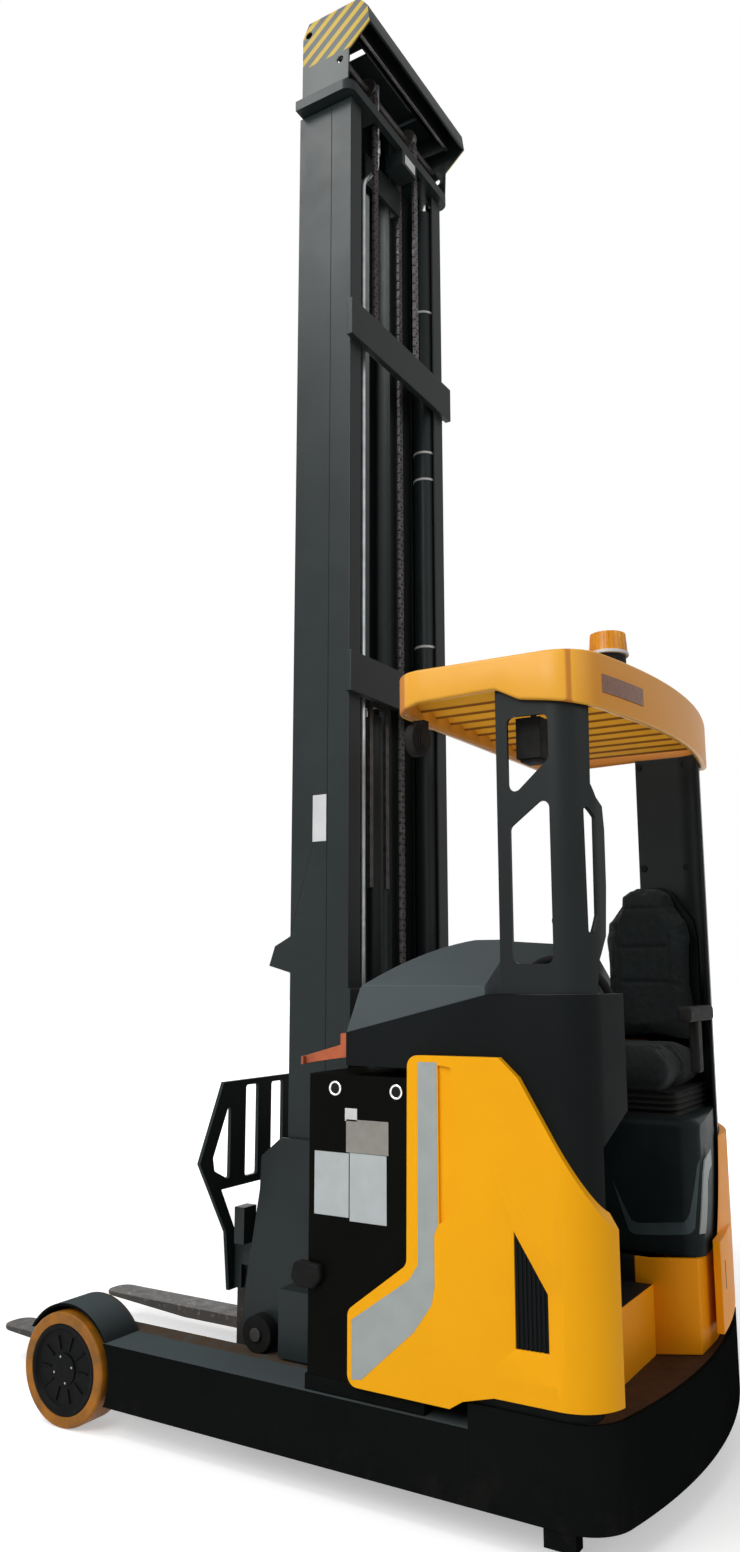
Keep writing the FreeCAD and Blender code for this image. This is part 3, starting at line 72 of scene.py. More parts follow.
def ranged(tree, value, fromLow, fromHigh, toLow=0.0, toHigh=1.0):
    made = tree.nodes.new("ShaderNodeMapRange")
    for socket, number in zip(list(made.inputs)[1:5], (fromLow, fromHigh, toLow, toHigh)):
        socket.default_value = number
    tree.links.new(value, made.inputs[0])
    return made.outputs[0]


def noiseNode(tree, place, scale, detail=3, rough=0.55):
    made = tree.nodes.new("ShaderNodeTexNoise")
    for name, value in (("Scale", scale), ("Detail", detail), ("Roughness", rough)):
        made.inputs[name].default_value = value
    tree.links.new(place, made.inputs["Vector"])
    return made.outputs["Fac"]


def mixed(tree, share, first, second, kind="RGBA"):
    made = tree.nodes.new("ShaderNodeMix")
    made.data_type = kind
    slots = (6, 7) if kind == "RGBA" else (2, 3)
    for slot, value in zip((0, *slots), (share, first, second)):
        if isinstance(value, (int, float)):
            made.inputs[slot].default_value = value
        elif isinstance(value, tuple):
            made.inputs[slot].default_value = (*value, 1)
        else:
            tree.links.new(value, made.inputs[slot])
    return made.outputs[2 if kind == "RGBA" else 0]


def splitAxes(tree, vector):  # X, Y and Z of a vector, by name
    made = tree.nodes.new("ShaderNodeSeparateXYZ")
    tree.links.new(vector, made.inputs[0])
    return made.outputs


def seenRays(tree):  # camera, mirror and glass rays
    path = tree.nodes.new("ShaderNodeLightPath")
    straight = mathNode(tree, "MAXIMUM", path.outputs["Is Camera Ray"], path.outputs["Is Glossy Ray"])
    return mathNode(tree, "MAXIMUM", straight, path.outputs["Is Transmission Ray"])


# ---- camera, lamps, air and floor
cameraSet = {"place": (3.275, 2.717, 1.361), "heading": (-0.8536, -0.5210), "upTilt": 10.1, "lens": 25.75,
             "longSide": 36, "clipEnd": 200}
bpy.ops.object.camera_add(location=at(*cameraSet["place"]))
camera = bpy.context.object
camera.name = "camera"
upTilt = math.radians(cameraSet["upTilt"])
sight = Vector((*(share * math.cos(upTilt) for share in cameraSet["heading"]), math.sin(upTilt)))
camera.rotation_euler = sight.to_track_quat("-Z", "Y").to_euler()
camera.data.lens = cameraSet["lens"]
camera.data.sensor_width = cameraSet["longSide"]
camera.data.clip_end = cameraSet["clipEnd"]
bpy.context.scene.camera = camera
bpy.context.scene.view_settings.view_transform = "Standard"

lampSet = [  # name, place, aim, width, height, watts
    ("keyLamp", (6.6, 0.4, 5.4), (0.2, 0.9, 1.4), 4.0, 4.0, 330),
    ("highLamp", (4.2, -1.9, 8.3), (0.3, 0.7, 4.0), 2.6, 2.6, 205),
    ("rearLamp", (1.5, 8.5, 5.0), (0, 0.9, 1.4), 4.0, 3.0, 80),
    ("farLamp", (-5.5, -3.5, 5.0), (0, 0.5, 1.8), 4.0, 3.0, 90),
]
for lampName, place, aim, width, height, watts in lampSet:
    bpy.ops.object.light_add(type="AREA", location=at(*place))
    lamp = bpy.context.object
    lamp.name = lampName
    lamp.rotation_euler = (at(*aim) - at(*place)).to_track_quat("-Z", "Y").to_euler()
    lamp.data.shape = "RECTANGLE"
    lamp.data.size, lamp.data.size_y = width, height
    lamp.data.energy = watts

airSet = {"fill": 0.36, "seen": 1.0}  # strength for the light on the truck, and for what is seen
air = bpy.data.worlds.new("studioAir")
bpy.context.scene.world = air
air.use_nodes = True
airTree = air.node_tree
airLight = airTree.nodes["Background"]
airLight.inputs["Color"].default_value = (1, 1, 1, 1)
seenShare = mathNode(airTree, "MULTIPLY", seenRays(airTree), airSet["seen"] - airSet["fill"])
airTree.links.new(mathNode(airTree, "ADD", seenShare, airSet["fill"]), airLight.inputs["Strength"])

floorSet = {  # the floor's own glow grows from nearLift to farLift between two distances
    "size": 90, "middle": 0.6, "near": 2.6, "far": 7.0, "nearLift": 0.42, "farLift": 1.0,
    "sockets": {"Base Color": (0.80, 0.80, 0.80, 1), "Roughness": 0.9, "Specular IOR Level": 0.1,
                "Emission Color": (1, 1, 1, 1)},
}
bpy.ops.mesh.primitive_plane_add(size=floorSet["size"], location=at(0, floorSet["middle"], 0))
floor = bpy.context.object
floor.name = "floor"
floorMaterial = bpy.data.materials.new("studioFloor")
floorMaterial.use_nodes = True
floorTree = floorMaterial.node_tree
floorShader = floorTree.nodes["Principled BSDF"]
for name, value in floorSet["sockets"].items():
    floorShader.inputs[name].default_value = value
floorSpan = floorTree.nodes.new("ShaderNodeVectorMath")
floorSpan.operation = "LENGTH"
floorTree.links.new(floorTree.nodes.new("ShaderNodeTexCoord").outputs["Object"], floorSpan.inputs[0])
floorFade = ranged(floorTree, floorSpan.outputs["Value"], floorSet["near"], floorSet["far"],
                   floorSet["nearLift"], floorSet["farLift"])
floorGlow = mathNode(floorTree, "MULTIPLY", seenRays(floorTree), floorFade)
floorTree.links.new(floorGlow, floorShader.inputs["Emission Strength"])
floor.data.materials.append(floorMaterial)
print("camera, lamps and floor placed")


# ---- ways of making a piece
axisTurns = {"X": (0, math.radians(90), 0), "Y": (math.radians(90), 0, 0), "Z": (0, 0, 0)}
smoothAngle = {"rounded": math.radians(38), "plain": math.radians(30)}
toolSet = {"ringSides": 12, "tubeRound": 4, "samePlace": 1e-5, "merge": 2e-5, "flat": math.radians(0.6),
           "faceWeight": 80}


def deselectAll():
    if bpy.context.object and bpy.context.object.mode != "OBJECT":
        bpy.ops.object.mode_set(mode="OBJECT")
    bpy.ops.object.select_all(action="DESELECT")


def pick(piece):
    deselectAll()
    piece.select_set(True)
    bpy.context.view_layer.objects.active = piece


def settle(name):  # names the new primitive and moves its place into its mesh
    piece = bpy.context.object
    piece.name = piece.data.name = name
    pick(piece)
    bpy.ops.object.transform_apply(location=True, rotation=True, scale=True)
    return piece


def blockPiece(name, low, high):  # between two corners in the frame's own coordinates
    deselectAll()
    bpy.ops.mesh.primitive_cube_add(size=1, location=(low + high) / 2, scale=high - low)
    return settle(name)


def boxPiece(name, low, high):
    return blockPiece(name, at(*low), at(*high))


def discPiece(name, centre, radius, length, axis="Z", sides=32):
    deselectAll()
    bpy.ops.mesh.primitive_cylinder_add(vertices=sides, radius=radius, depth=length, location=at(*centre),
                                        rotation=axisTurns[axis])
    return settle(name)


def ringPiece(name, centre, radius, thickness, axis="Z", sides=32):
    deselectAll()
    bpy.ops.mesh.primitive_torus_add(major_radius=radius, minor_radius=thickness, major_segments=sides,
                                     minor_segments=toolSet["ringSides"], location=at(*centre),
                                     rotation=axisTurns[axis])
    piece = settle(name)
    bpy.ops.object.shade_smooth()
    return piece


def tubePiece(name, route, radius, bend=0.03, steps=3):
    # a round tube along straight runs, its corners bent
    curve = bpy.data.curves.new(name, "CURVE")
    curve.dimensions = "3D"
    curve.bevel_depth = radius
    curve.bevel_resolution = toolSet["tubeRound"]
    spots = [at(*spot) for spot in route]
    track = [spots[0]]
    for before, corner, after in zip(spots, spots[1:], spots[2:]):
        first = corner + (before - corner).normalized() * bend
        last = corner + (after - corner).normalized() * bend
        for step in range(steps + 1):
            share = step / steps
            track.append(first.lerp(corner, share).lerp(corner.lerp(last, share), share))
    track.append(spots[-1])
    line = curve.splines.new("POLY")
    line.points.add(len(track) - 1)
    for point, spot in zip(line.points, track):
        point.co = (*spot, 1)
    piece = bpy.data.objects.new(name, curve)
    bpy.context.scene.collection.objects.link(piece)
    pick(piece)
    bpy.ops.object.convert(target="MESH")
    bpy.ops.object.shade_smooth()
    return bpy.context.object


def faceOutwards():  # the last step in edit mode
    bpy.ops.mesh.select_all(action="SELECT")
    bpy.ops.mesh.normals_make_consistent(inside=False)
    bpy.ops.object.mode_set(mode="OBJECT")


def openFaces(piece, chosen):  # edit mode with only the faces selected that chosen picks out
    bpy.ops.object.mode_set(mode="EDIT")
    bpy.ops.mesh.select_mode(type="FACE")
    bpy.ops.mesh.select_all(action="DESELECT")
    shape = bmesh.from_edit_mesh(piece.data)
    for side in chosen(list(shape.faces)):
        side.select_set(True)
    bmesh.update_edit_mesh(piece.data)


def spread(axis, level, first, second):  # a point from its two outline numbers and its level along the axis
    return at(*{"X": (level, first, second), "Y": (first, level, second), "Z": (first, second, level)}[axis])


def outlinePiece(name, outline, low, high, axis="X", farOutline=None):
    # a many-sided disc whose corners go to the outline, extruded from low to high
    deselectAll()
    bpy.ops.mesh.primitive_circle_add(vertices=len(outline), radius=1, fill_type="NGON", location=(0, 0, 0))
    piece = settle(name)
    bpy.ops.object.mode_set(mode="EDIT")
    shape = bmesh.from_edit_mesh(piece.data)
    shape.verts.ensure_lookup_table()
    for corner, (first, second) in zip(shape.verts, outline):
        corner.co = spread(axis, low, first, second)
    bmesh.update_edit_mesh(piece.data)
    bpy.ops.mesh.select_all(action="SELECT")
    push = spread(axis, high, 0, 0) - spread(axis, low, 0, 0)
    bpy.ops.mesh.extrude_region_move(TRANSFORM_OT_translate={"value": push})
    if farOutline:
        shape = bmesh.from_edit_mesh(piece.data)
        near = [spread(axis, high, first, second) for first, second in outline]
        for corner in shape.verts:
            gaps = [(corner.co - place).length for place in near]
            closest = gaps.index(min(gaps))
            if gaps[closest] < toolSet["samePlace"]:
                corner.co = spread(axis, high, *farOutline[closest])
        bmesh.update_edit_mesh(piece.data)
    faceOutwards()
    return piece


def applied(piece, kind, **values):
    pick(piece)
    bpy.ops.object.modifier_add(type=kind)
    modifier = piece.modifiers[-1]
    for key, value in values.items():
        setattr(modifier, key, value)
    bpy.ops.object.modifier_apply(modifier=modifier.name)
    return piece


def joined(name, pieces):
    deselectAll()
    for piece in pieces:
        piece.select_set(True)
    bpy.context.view_layer.objects.active = pieces[0]
    bpy.ops.object.join()
    pieces[0].name = pieces[0].data.name = name
    return pieces[0]


def discs(name, spots, radius, length, axis="X", sides=6):  # one piece made of like discs
    return joined(name, [discPiece(name, spot, radius, length, axis, sides) for spot in spots])


def rounded(piece, width, segments=2, angle=32):
    applied(piece, "BEVEL", width=width, segments=segments, limit_method="ANGLE", angle_limit=math.radians(angle),
            miter_outer="MITER_ARC")
    bpy.ops.object.shade_smooth_by_angle(angle=smoothAngle["rounded"])
    applied(piece, "WEIGHTED_NORMAL", keep_sharp=True, weight=toolSet["faceWeight"])
    return piece


def softCopy(nodeName, width=0.0, segments=2, angle=32):
    # the node's own shape, joined up, with its edges rounded when a width is given
    piece = bpy.data.objects.new(nodeName + "_finished", nodes[nodeName].data.copy())
    bpy.context.scene.collection.objects.link(piece)
    pick(piece)
    bpy.ops.object.mode_set(mode="EDIT")
    bpy.ops.mesh.select_all(action="SELECT")
    bpy.ops.mesh.remove_doubles(threshold=toolSet["merge"])
    bpy.ops.mesh.customdata_custom_splitnormals_clear()
    bpy.ops.mesh.dissolve_limited(angle_limit=toolSet["flat"])
    bpy.ops.mesh.select_all(action="SELECT")
    bpy.ops.mesh.vert_connect_concave()
    bpy.ops.object.mode_set(mode="OBJECT")
    if width:
        rounded(piece, width, segments, angle)
    else:
        bpy.ops.object.shade_smooth_by_angle(angle=smoothAngle["plain"])
    return piece


def carve(piece, cutter):
    applied(piece, "BOOLEAN", operation="DIFFERENCE", object=cutter, solver="EXACT")
    bpy.data.objects.remove(cutter)
    return piece


# ---- materials
paintSet = {"patchDetail": 5, "patchRange": (0.36, 0.64), "smearScale": 2.7, "smear": (6, 0.65),
            "smearRange": (0.3, 0.7), "bump": 0.35, "grainDetail": 2, "wear": (8, 0.7)}  # wear: detail, roughness


def finish(name, color, shade, patch, rough, grain, depth, specular=0.5, metal=0.0, sheen=0.0):
    # colour drifts to its shade in patches, gloss drifts too, and a fine grain lifts the surface
    material = bpy.data.materials.new(name)
    material.use_nodes = True
    tree = material.node_tree
    shader = tree.nodes["Principled BSDF"]
    for socket, value in (("Specular IOR Level", specular), ("Metallic", metal), ("Sheen Weight", sheen)):
        shader.inputs[socket].default_value = value
    place = tree.nodes.new("ShaderNodeTexCoord").outputs["Object"]
    patches = ranged(tree, noiseNode(tree, place, patch, paintSet["patchDetail"]), *paintSet["patchRange"])
    tree.links.new(mixed(tree, patches, color, shade), shader.inputs["Base Color"])
    smears = noiseNode(tree, place, patch * paintSet["smearScale"], *paintSet["smear"])
    tree.links.new(ranged(tree, smears, *paintSet["smearRange"], *rough), shader.inputs["Roughness"])
    bump = tree.nodes.new("ShaderNodeBump")
    bump.inputs["Strength"].default_value = paintSet["bump"]
    bump.inputs["Distance"].default_value = depth
    tree.links.new(noiseNode(tree, place, grain, paintSet["grainDetail"]), bump.inputs["Height"])
    tree.links.new(bump.outputs["Normal"], shader.inputs["Normal"])
    return material


def parts(material):
    tree = material.node_tree
    place = next(made for made in tree.nodes if made.type == "TEX_COORD").outputs["Object"]
    return tree, tree.nodes["Principled BSDF"], place


def layOver(material, mask, color, rough):
    # puts another colour and gloss over what is there, where the mask is 1
    tree, shader, _ = parts(material)
    for name, value, kind in (("Base Color", color, "RGBA"), ("Roughness", rough, "FLOAT")):
        socket = shader.inputs[name]
        tree.links.new(mixed(tree, mask, socket.links[0].from_socket, value, kind), socket)


def boxMask(material, limits, blur=0.004):
    # 1 inside the limits, which are {axis letter: (low, high)} in metres, with None for open
    tree, _, place = parts(material)
    axes = splitAxes(tree, place)
    mask = None
    for letter, (low, high) in limits.items():
        shift = axleY if letter == "Y" else 0
        for level, sign in ((low, 1), (high, -1)):
            if level is not None:
                level += shift
                edge = (level - blur, level + blur) if sign > 0 else (level + blur, level - blur)
                step = ranged(tree, axes[letter], *edge)
                mask = step if mask is None else mathNode(tree, "MULTIPLY", mask, step)
    return mask


def worn(material, scale, low, high, mask=None):
    # a patchy mask of where the finish has rubbed away
    tree, _, place = parts(material)
    spots = ranged(tree, noiseNode(tree, place, scale, *paintSet["wear"]), low, high)
    return spots if mask is None else mathNode(tree, "MULTIPLY", spots, mask)


def facing(material, letter, low, high):  # 1 where the surface faces along an axis
    tree = material.node_tree
    normal = tree.nodes.new("ShaderNodeNewGeometry").outputs["Normal"]
    return ranged(tree, splitAxes(tree, normal)[letter], low, high)


finishes = {  # colour, shade, patch scale, rough, grain scale, grain depth, specular, metal, sheen
    "mouldedYellow": ((0.82, 0.365, 0.002), (0.79, 0.345, 0.002), 2.5, (0.40, 0.50), 700, 0.0004, 0.12),
    "guardYellow": ((0.74, 0.355, 0.030), (0.69, 0.32, 0.024), 3, (0.30, 0.42), 420, 0.0005, 0.3),
    "mastPaint": ((0.017, 0.0225, 0.0228), (0.013, 0.0175, 0.0178), 3, (0.30, 0.40), 380, 0.0006, 0.16),
    "framePaint": ((0.0056, 0.0064, 0.0062), (0.0068, 0.0076, 0.0073), 4, (0.50, 0.64), 380, 0.0006, 0.0),
    "hoodGrey": ((0.050, 0.064, 0.068), (0.043, 0.056, 0.060), 3, (0.50, 0.60), 900, 0.0007, 0.25),
    "housingBlack": ((0.0068, 0.0082, 0.0086), (0.0055, 0.0066, 0.0070), 3, (0.46, 0.58), 900, 0.0007, 0.05),
    "batteryBlack": ((0.0028, 0.0030, 0.0024), (0.0036, 0.0038, 0.0032), 4, (0.34, 0.48), 260, 0.0008, 0.02),
    "rubberBlack": ((0.008, 0.008, 0.008), (0.012, 0.011, 0.010), 12, (0.62, 0.8), 600, 0.0008, 0.12),
    "castBlack": ((0.006, 0.0066, 0.0064), (0.010, 0.0095, 0.009), 14, (0.55, 0.75), 320, 0.0015, 0.07),
    "bareSteel": ((0.42, 0.41, 0.39), (0.30, 0.28, 0.26), 18, (0.28, 0.48), 900, 0.0003, 0.5, 1.0),
    "brightRod": ((0.80, 0.81, 0.82), (0.72, 0.73, 0.74), 8, (0.12, 0.20), 900, 0.0001, 0.5, 1.0),
    "chainSteel": ((0.060, 0.056, 0.052), (0.028, 0.025, 0.022), 30, (0.45, 0.65), 700, 0.0004, 0.5, 0.5),
    "rollerBright": ((0.17, 0.165, 0.16), (0.10, 0.095, 0.09), 40, (0.40, 0.55), 900, 0.0002, 0.5, 0.7),
    "forkSteel": ((0.038, 0.032, 0.027), (0.021, 0.019, 0.017), 9, (0.42, 0.62), 260, 0.0012, 0.5, 0.35),
    "amberTread": ((0.34, 0.120, 0.004), (0.19, 0.075, 0.007), 16, (0.35, 0.55), 500, 0.0005, 0.25),
    "amberLens": ((0.72, 0.30, 0.004), (0.58, 0.20, 0.003), 20, (0.16, 0.26), 300, 0.0006, 0.25),
    "tapeGrey": ((0.315, 0.345, 0.335), (0.290, 0.320, 0.312), 14, (0.42, 0.55), 1400, 0.0004, 0.25),
    "paperWhite": ((0.40, 0.435, 0.44), (0.37, 0.40, 0.40), 20, (0.5, 0.65), 800, 0.0001, 0.3),
    "plateMetal": ((0.22, 0.21, 0.19), (0.19, 0.18, 0.16), 25, (0.38, 0.5), 900, 0.0001, 0.5, 0.4),
    "bracketOrange": ((0.42, 0.085, 0.018), (0.24, 0.050, 0.014), 14, (0.4, 0.6), 300, 0.0008),
    "reflectorRust": ((0.18, 0.055, 0.016), (0.10, 0.030, 0.012), 120, (0.3, 0.45), 500, 0.0012),
    "labelWhite": ((0.55, 0.56, 0.56), (0.50, 0.51, 0.51), 20, (0.4, 0.5), 900, 0.0001),
    "pillarPaint": ((0.011, 0.0135, 0.0138), (0.009, 0.011, 0.0112), 3, (0.34, 0.44), 380, 0.0006, 0.13),
    "stepBrown": ((0.022, 0.009, 0.006), (0.030, 0.013, 0.008), 9, (0.45, 0.65), 300, 0.001, 0.2),
    "hubBlack": ((0.0030, 0.0036, 0.0034), (0.0048, 0.0052, 0.0050), 14, (0.40, 0.58), 320, 0.0010, 0.06),
    "rearYellow": ((0.90, 0.320, 0.004), (0.86, 0.300, 0.003), 2.5, (0.40, 0.50), 700, 0.0004, 0.10),
    "slatYellow": ((0.95, 0.47, 0.035), (0.90, 0.43, 0.030), 3, (0.34, 0.46), 420, 0.0005, 0.25),
    "podBlack": ((0.0120, 0.0170, 0.0175), (0.009, 0.0130, 0.0135), 9, (0.42, 0.52), 700, 0.0002, 0.06),
    "podTrim": ((0.052, 0.070, 0.075), (0.042, 0.058, 0.062), 12, (0.40, 0.50), 700, 0.0002, 0.12),
    "tubeSteel": ((0.50, 0.53, 0.54), (0.38, 0.41, 0.42), 20, (0.28, 0.40), 900, 0.0002, 0.5, 0.6),
    "seamDark": ((0.006, 0.0075, 0.0075), (0.008, 0.010, 0.010), 8, (0.5, 0.6), 500, 0.0002, 0.1),
    "seatCloth": ((0.010, 0.0125, 0.0128), (0.014, 0.017, 0.0175), 60, (0.75, 0.92), 900, 0.001, 0.08, 0.0, 0.06),
}
finishes["railPaint"], finishes["headPaint"] = finishes["framePaint"], finishes["mastPaint"]
looks = {name: finish(name, *values) for name, values in finishes.items()}

# legs: a painted sheen on the tops, the reach rails are rubbed brown, and everything low down is dusty
legSet = {
    "topSheenColor": (0.062, 0.076, 0.080), "topSheenRough": 0.5, "topSheenFacing": (0.45, 0.95),
    "tracks": ((0.405, 0.482), (-0.482, -0.405)), "trackLow": 0.257, "trackFacing": (0.5, 0.9),
    "trackColor": (0.075, 0.052, 0.036), "trackRough": 0.5, "trackWear": (26, 0.30, 0.52),  # scale, then range
    "dustTop": 0.16, "dustBlur": 0.08, "dustColor": (0.015, 0.014, 0.0125), "dustRough": 0.8,
    "dustWear": (9, 0.52, 0.80),
}
railPaint = looks["railPaint"]
# painted sheen: a lighter colour where the leg tops face up
layOver(railPaint, facing(railPaint, "Z", *legSet["topSheenFacing"]), legSet["topSheenColor"], legSet["topSheenRough"])
for across in legSet["tracks"]:
    rubbed = boxMask(railPaint, {"X": across, "Z": (legSet["trackLow"], None)})
    track = mathNode(railPaint.node_tree, "MULTIPLY", rubbed, facing(railPaint, "Z", *legSet["trackFacing"]))
    layOver(railPaint, worn(railPaint, *legSet["trackWear"], track), legSet["trackColor"], legSet["trackRough"])
for name in ("framePaint", "railPaint"):
    low = boxMask(looks[name], {"Z": (None, legSet["dustTop"])}, legSet["dustBlur"])
    layOver(looks[name], worn(looks[name], *legSet["dustWear"], low), legSet["dustColor"], legSet["dustRough"])

# forks: paint left in patches, brighter where loads rub
forkWear = {"scale": 40, "range": (0.56, 0.70), "color": (0.16, 0.14, 0.12), "rough": 0.35}
layOver(looks["forkSteel"], worn(looks["forkSteel"], forkWear["scale"], *forkWear["range"]), forkWear["color"],
        forkWear["rough"])

# mast head: slanted yellow stripes on the cheek plates
stripeSet = {"color": (0.43, 0.30, 0.046), "rough": 0.5, "grey": (0.095, 0.105, 0.100), "greyRough": 0.45,
             "pitch": 0.0555, "share": 0.45, "slope": 0.745, "soft": 0.02, "first": 4.041, "low": 4.618,
             "greyLow": 4.5, "cheek": 0.369, "lowBlur": 0.003, "cheekBlur": 0.001}
headPaint = looks["headPaint"]
headTree, _, headPlace = parts(headPaint)
headAxes = splitAxes(headTree, headPlace)
leant = mathNode(headTree, "MULTIPLY", headAxes["Y"], stripeSet["slope"])
slanted = mathNode(headTree, "SUBTRACT", headAxes["Z"], leant)
shifted = mathNode(headTree, "SUBTRACT", slanted,
                   stripeSet["first"] - stripeSet["slope"] * axleY - stripeSet["pitch"] / 2)
saw = mathNode(headTree, "FRACT", mathNode(headTree, "DIVIDE", shifted, stripeSet["pitch"]))
offMiddle = mathNode(headTree, "ABSOLUTE", mathNode(headTree, "SUBTRACT", saw, 0.5))
half, soft = stripeSet["share"] / 2, stripeSet["soft"]
stripe = ranged(headTree, offMiddle, half + soft, half - soft)
lowBlur = stripeSet["lowBlur"]
upper = ranged(headTree, headAxes["Z"], stripeSet["low"] - lowBlur, stripeSet["low"] + lowBlur)
for across in ((stripeSet["cheek"], None), (None, -stripeSet["cheek"])):
    cheek = boxMask(headPaint, {"X": across, "Z": (stripeSet["greyLow"], None)}, stripeSet["cheekBlur"])
    layOver(headPaint, cheek, stripeSet["grey"], stripeSet["greyRough"])
    striped = mathNode(headTree, "MULTIPLY", cheek, mathNode(headTree, "MULTIPLY", stripe, upper))
    layOver(headPaint, striped, stripeSet["color"], stripeSet["rough"])

# surfaces out of the light, each a box in the part's coordinates: look, limits, blur, colour, rough
shadowed = [
    ("slatYellow", {"Z": (None, 2.1285)}, 0.001, (0.26, 0.085, 0.008), 0.6),  # lower lip of each slat
    ("guardYellow", {"X": (-0.606, 0.606), "Y": (1.166, 1.700)}, 0.002, (0.46, 0.165, 0.018), 0.5),  # inside the rim
    ("stepBrown", {"Z": (0.40, None)}, 0.004, (0.006, 0.006, 0.006), 0.6),  # footwell floor
    ("rearYellow", {"X": (-0.028, -0.012), "Y": (None, 1.600), "Z": (0.30, 0.60)}, 0.002,  # front of the plinth
     (0.010, 0.0105, 0.010), 0.6),
]
for name, limits, blur, color, rough in shadowed:
    layOver(looks[name], boxMask(looks[name], limits, blur), color, rough)
rearFacingShade = [  # painted shade, as above, on what faces the rear: look, where it starts and ends, colour, rough
    ("guardYellow", 0.55, 0.90, (0.62, 0.250, 0.016), 0.45),
    ("mastPaint", 0.70, 0.95, (0.0068, 0.0082, 0.0084), 0.55),
    ("headPaint", 0.70, 0.95, (0.0068, 0.0082, 0.0084), 0.55),
]
# painted shade on the sides that face the rear
for name, start, end, color, rough in rearFacingShade:
    layOver(looks[name], facing(looks[name], "Y", start, end), color, rough)

# seat cloth: a fine twill
twillSet = {"scale": 160, "distortion": 1.5, "lift": 0.6}
clothTree, _, clothPlace = parts(looks["seatCloth"])
weave = clothTree.nodes.new("ShaderNodeTexWave")
weave.bands_direction = "DIAGONAL"
weave.inputs["Scale"].default_value = twillSet["scale"]
weave.inputs["Distortion"].default_value = twillSet["distortion"]
clothTree.links.new(clothPlace, weave.inputs["Vector"])
clothBump = next(made for made in clothTree.nodes if made.type == "BUMP")
heights = mathNode(clothTree, "ADD", clothBump.inputs["Height"].links[0].from_socket,
                   mathNode(clothTree, "MULTIPLY", weave.outputs["Fac"], twillSet["lift"]))
clothTree.links.new(heights, clothBump.inputs["Height"])
print("materials made:", len(looks))

# ---- what the record says of each node
bodyOf = {name: body for body, names in frame["record"]["behaviour"]["bodies"].items() for name in names}


def dress(piece, look, body="root"):
    piece.data.materials.clear()
    piece.data.materials.append(looks[look])
    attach(piece, body)
    return piece


def stands(piece, nodeName, look):  # a finished piece that takes a node's place
    dress(piece, look, bodyOf[nodeName])
    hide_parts(nodeName)
    return piece


# ---- frame parts that keep their own shape, by finish, with the rounding of their edges in metres
roundedNodes = {
    "railPaint": {"leg_left": 0.006, "leg_right": 0.006},
    "framePaint": {"chassis_skirt": 0.008, "battery_tray": 0.002},
    "stepBrown": {"cab_floor": 0.003},
    "batteryBlack": {"battery_box": 0.0025},
    "castBlack": {"drive_motor": 0.004, "load_axles": 0.003, "drive_gearbox": 0.004, "reach_rollers": 0.003},
    "housingBlack": {"bulkhead": 0.006, "console_left": 0.01},
    "rearYellow": {"seat_plinth": 0.01, "side_panel_right": 0.008},
    "podBlack": {"seat_pod": 0.012},
    "pillarPaint": {"pillar_right": 0.0025},
    "slatYellow": {"guard_slats": 0.0015},
    "hubBlack": {"load_hub_left": 0.003, "load_hub_right": 0.003},
    "amberTread": {"load_tyre_left": 0.003, "load_tyre_right": 0.003},
    "rubberBlack": {"drive_wheel": 0.003},
    "mastPaint": {"reach_carriage": 0.004, "outer_mast": 0.003, "inner_mast": 0.0025, "lift_carriage": 0.003,
                  "tilt_carriage": 0.003, "side_shifter": 0.004, "load_backrest": 0.003, "reach_cylinder": 0.002},
    "headPaint": {"middle_mast": 0.0025},
    "chainSteel": {"free_lift_head": 0.002},
    "forkSteel": {"fork_left": 0.004, "fork_right": 0.004},
}
for look, widths in roundedNodes.items():
    for nodeName, width in widths.items():
        stands(softCopy(nodeName, width), nodeName, look)
plainNodes = {"lift_cylinders": "mastPaint", "free_lift_cylinder": "mastPaint", "pillar_left": "pillarPaint",
              "lift_rods": "brightRod", "free_lift_rod": "brightRod", "reach_rod": "brightRod"}
for nodeName, look in plainNodes.items():
    nodes[nodeName].data.materials.clear()
    nodes[nodeName].data.materials.append(looks[look])
print("frame parts finished:", sum(len(widths) for widths in roundedNodes.values()) + len(plainNodes))

# ---- guard rim: one section run round the guard's plan, deeper in front and behind
rimSet = {
    "half": 0.622, "rear": 1.815, "front": 1.150, "frontRadius": 0.110, "rearRadius": 0.130, "bow": 2.200, "top": 2.205,
    "wall": 0.0235, "edge": 0.009, "frontSteps": 8, "cornerSteps": 12, "sideSteps": 44, "bowSteps": 16,
    "bottom": [(1.150, 2.092), (1.185, 2.094), (1.250, 2.109), (1.475, 2.115), (1.490, 2.115), (1.556, 2.081),
               (1.755, 2.051), (1.820, 2.051)],
}


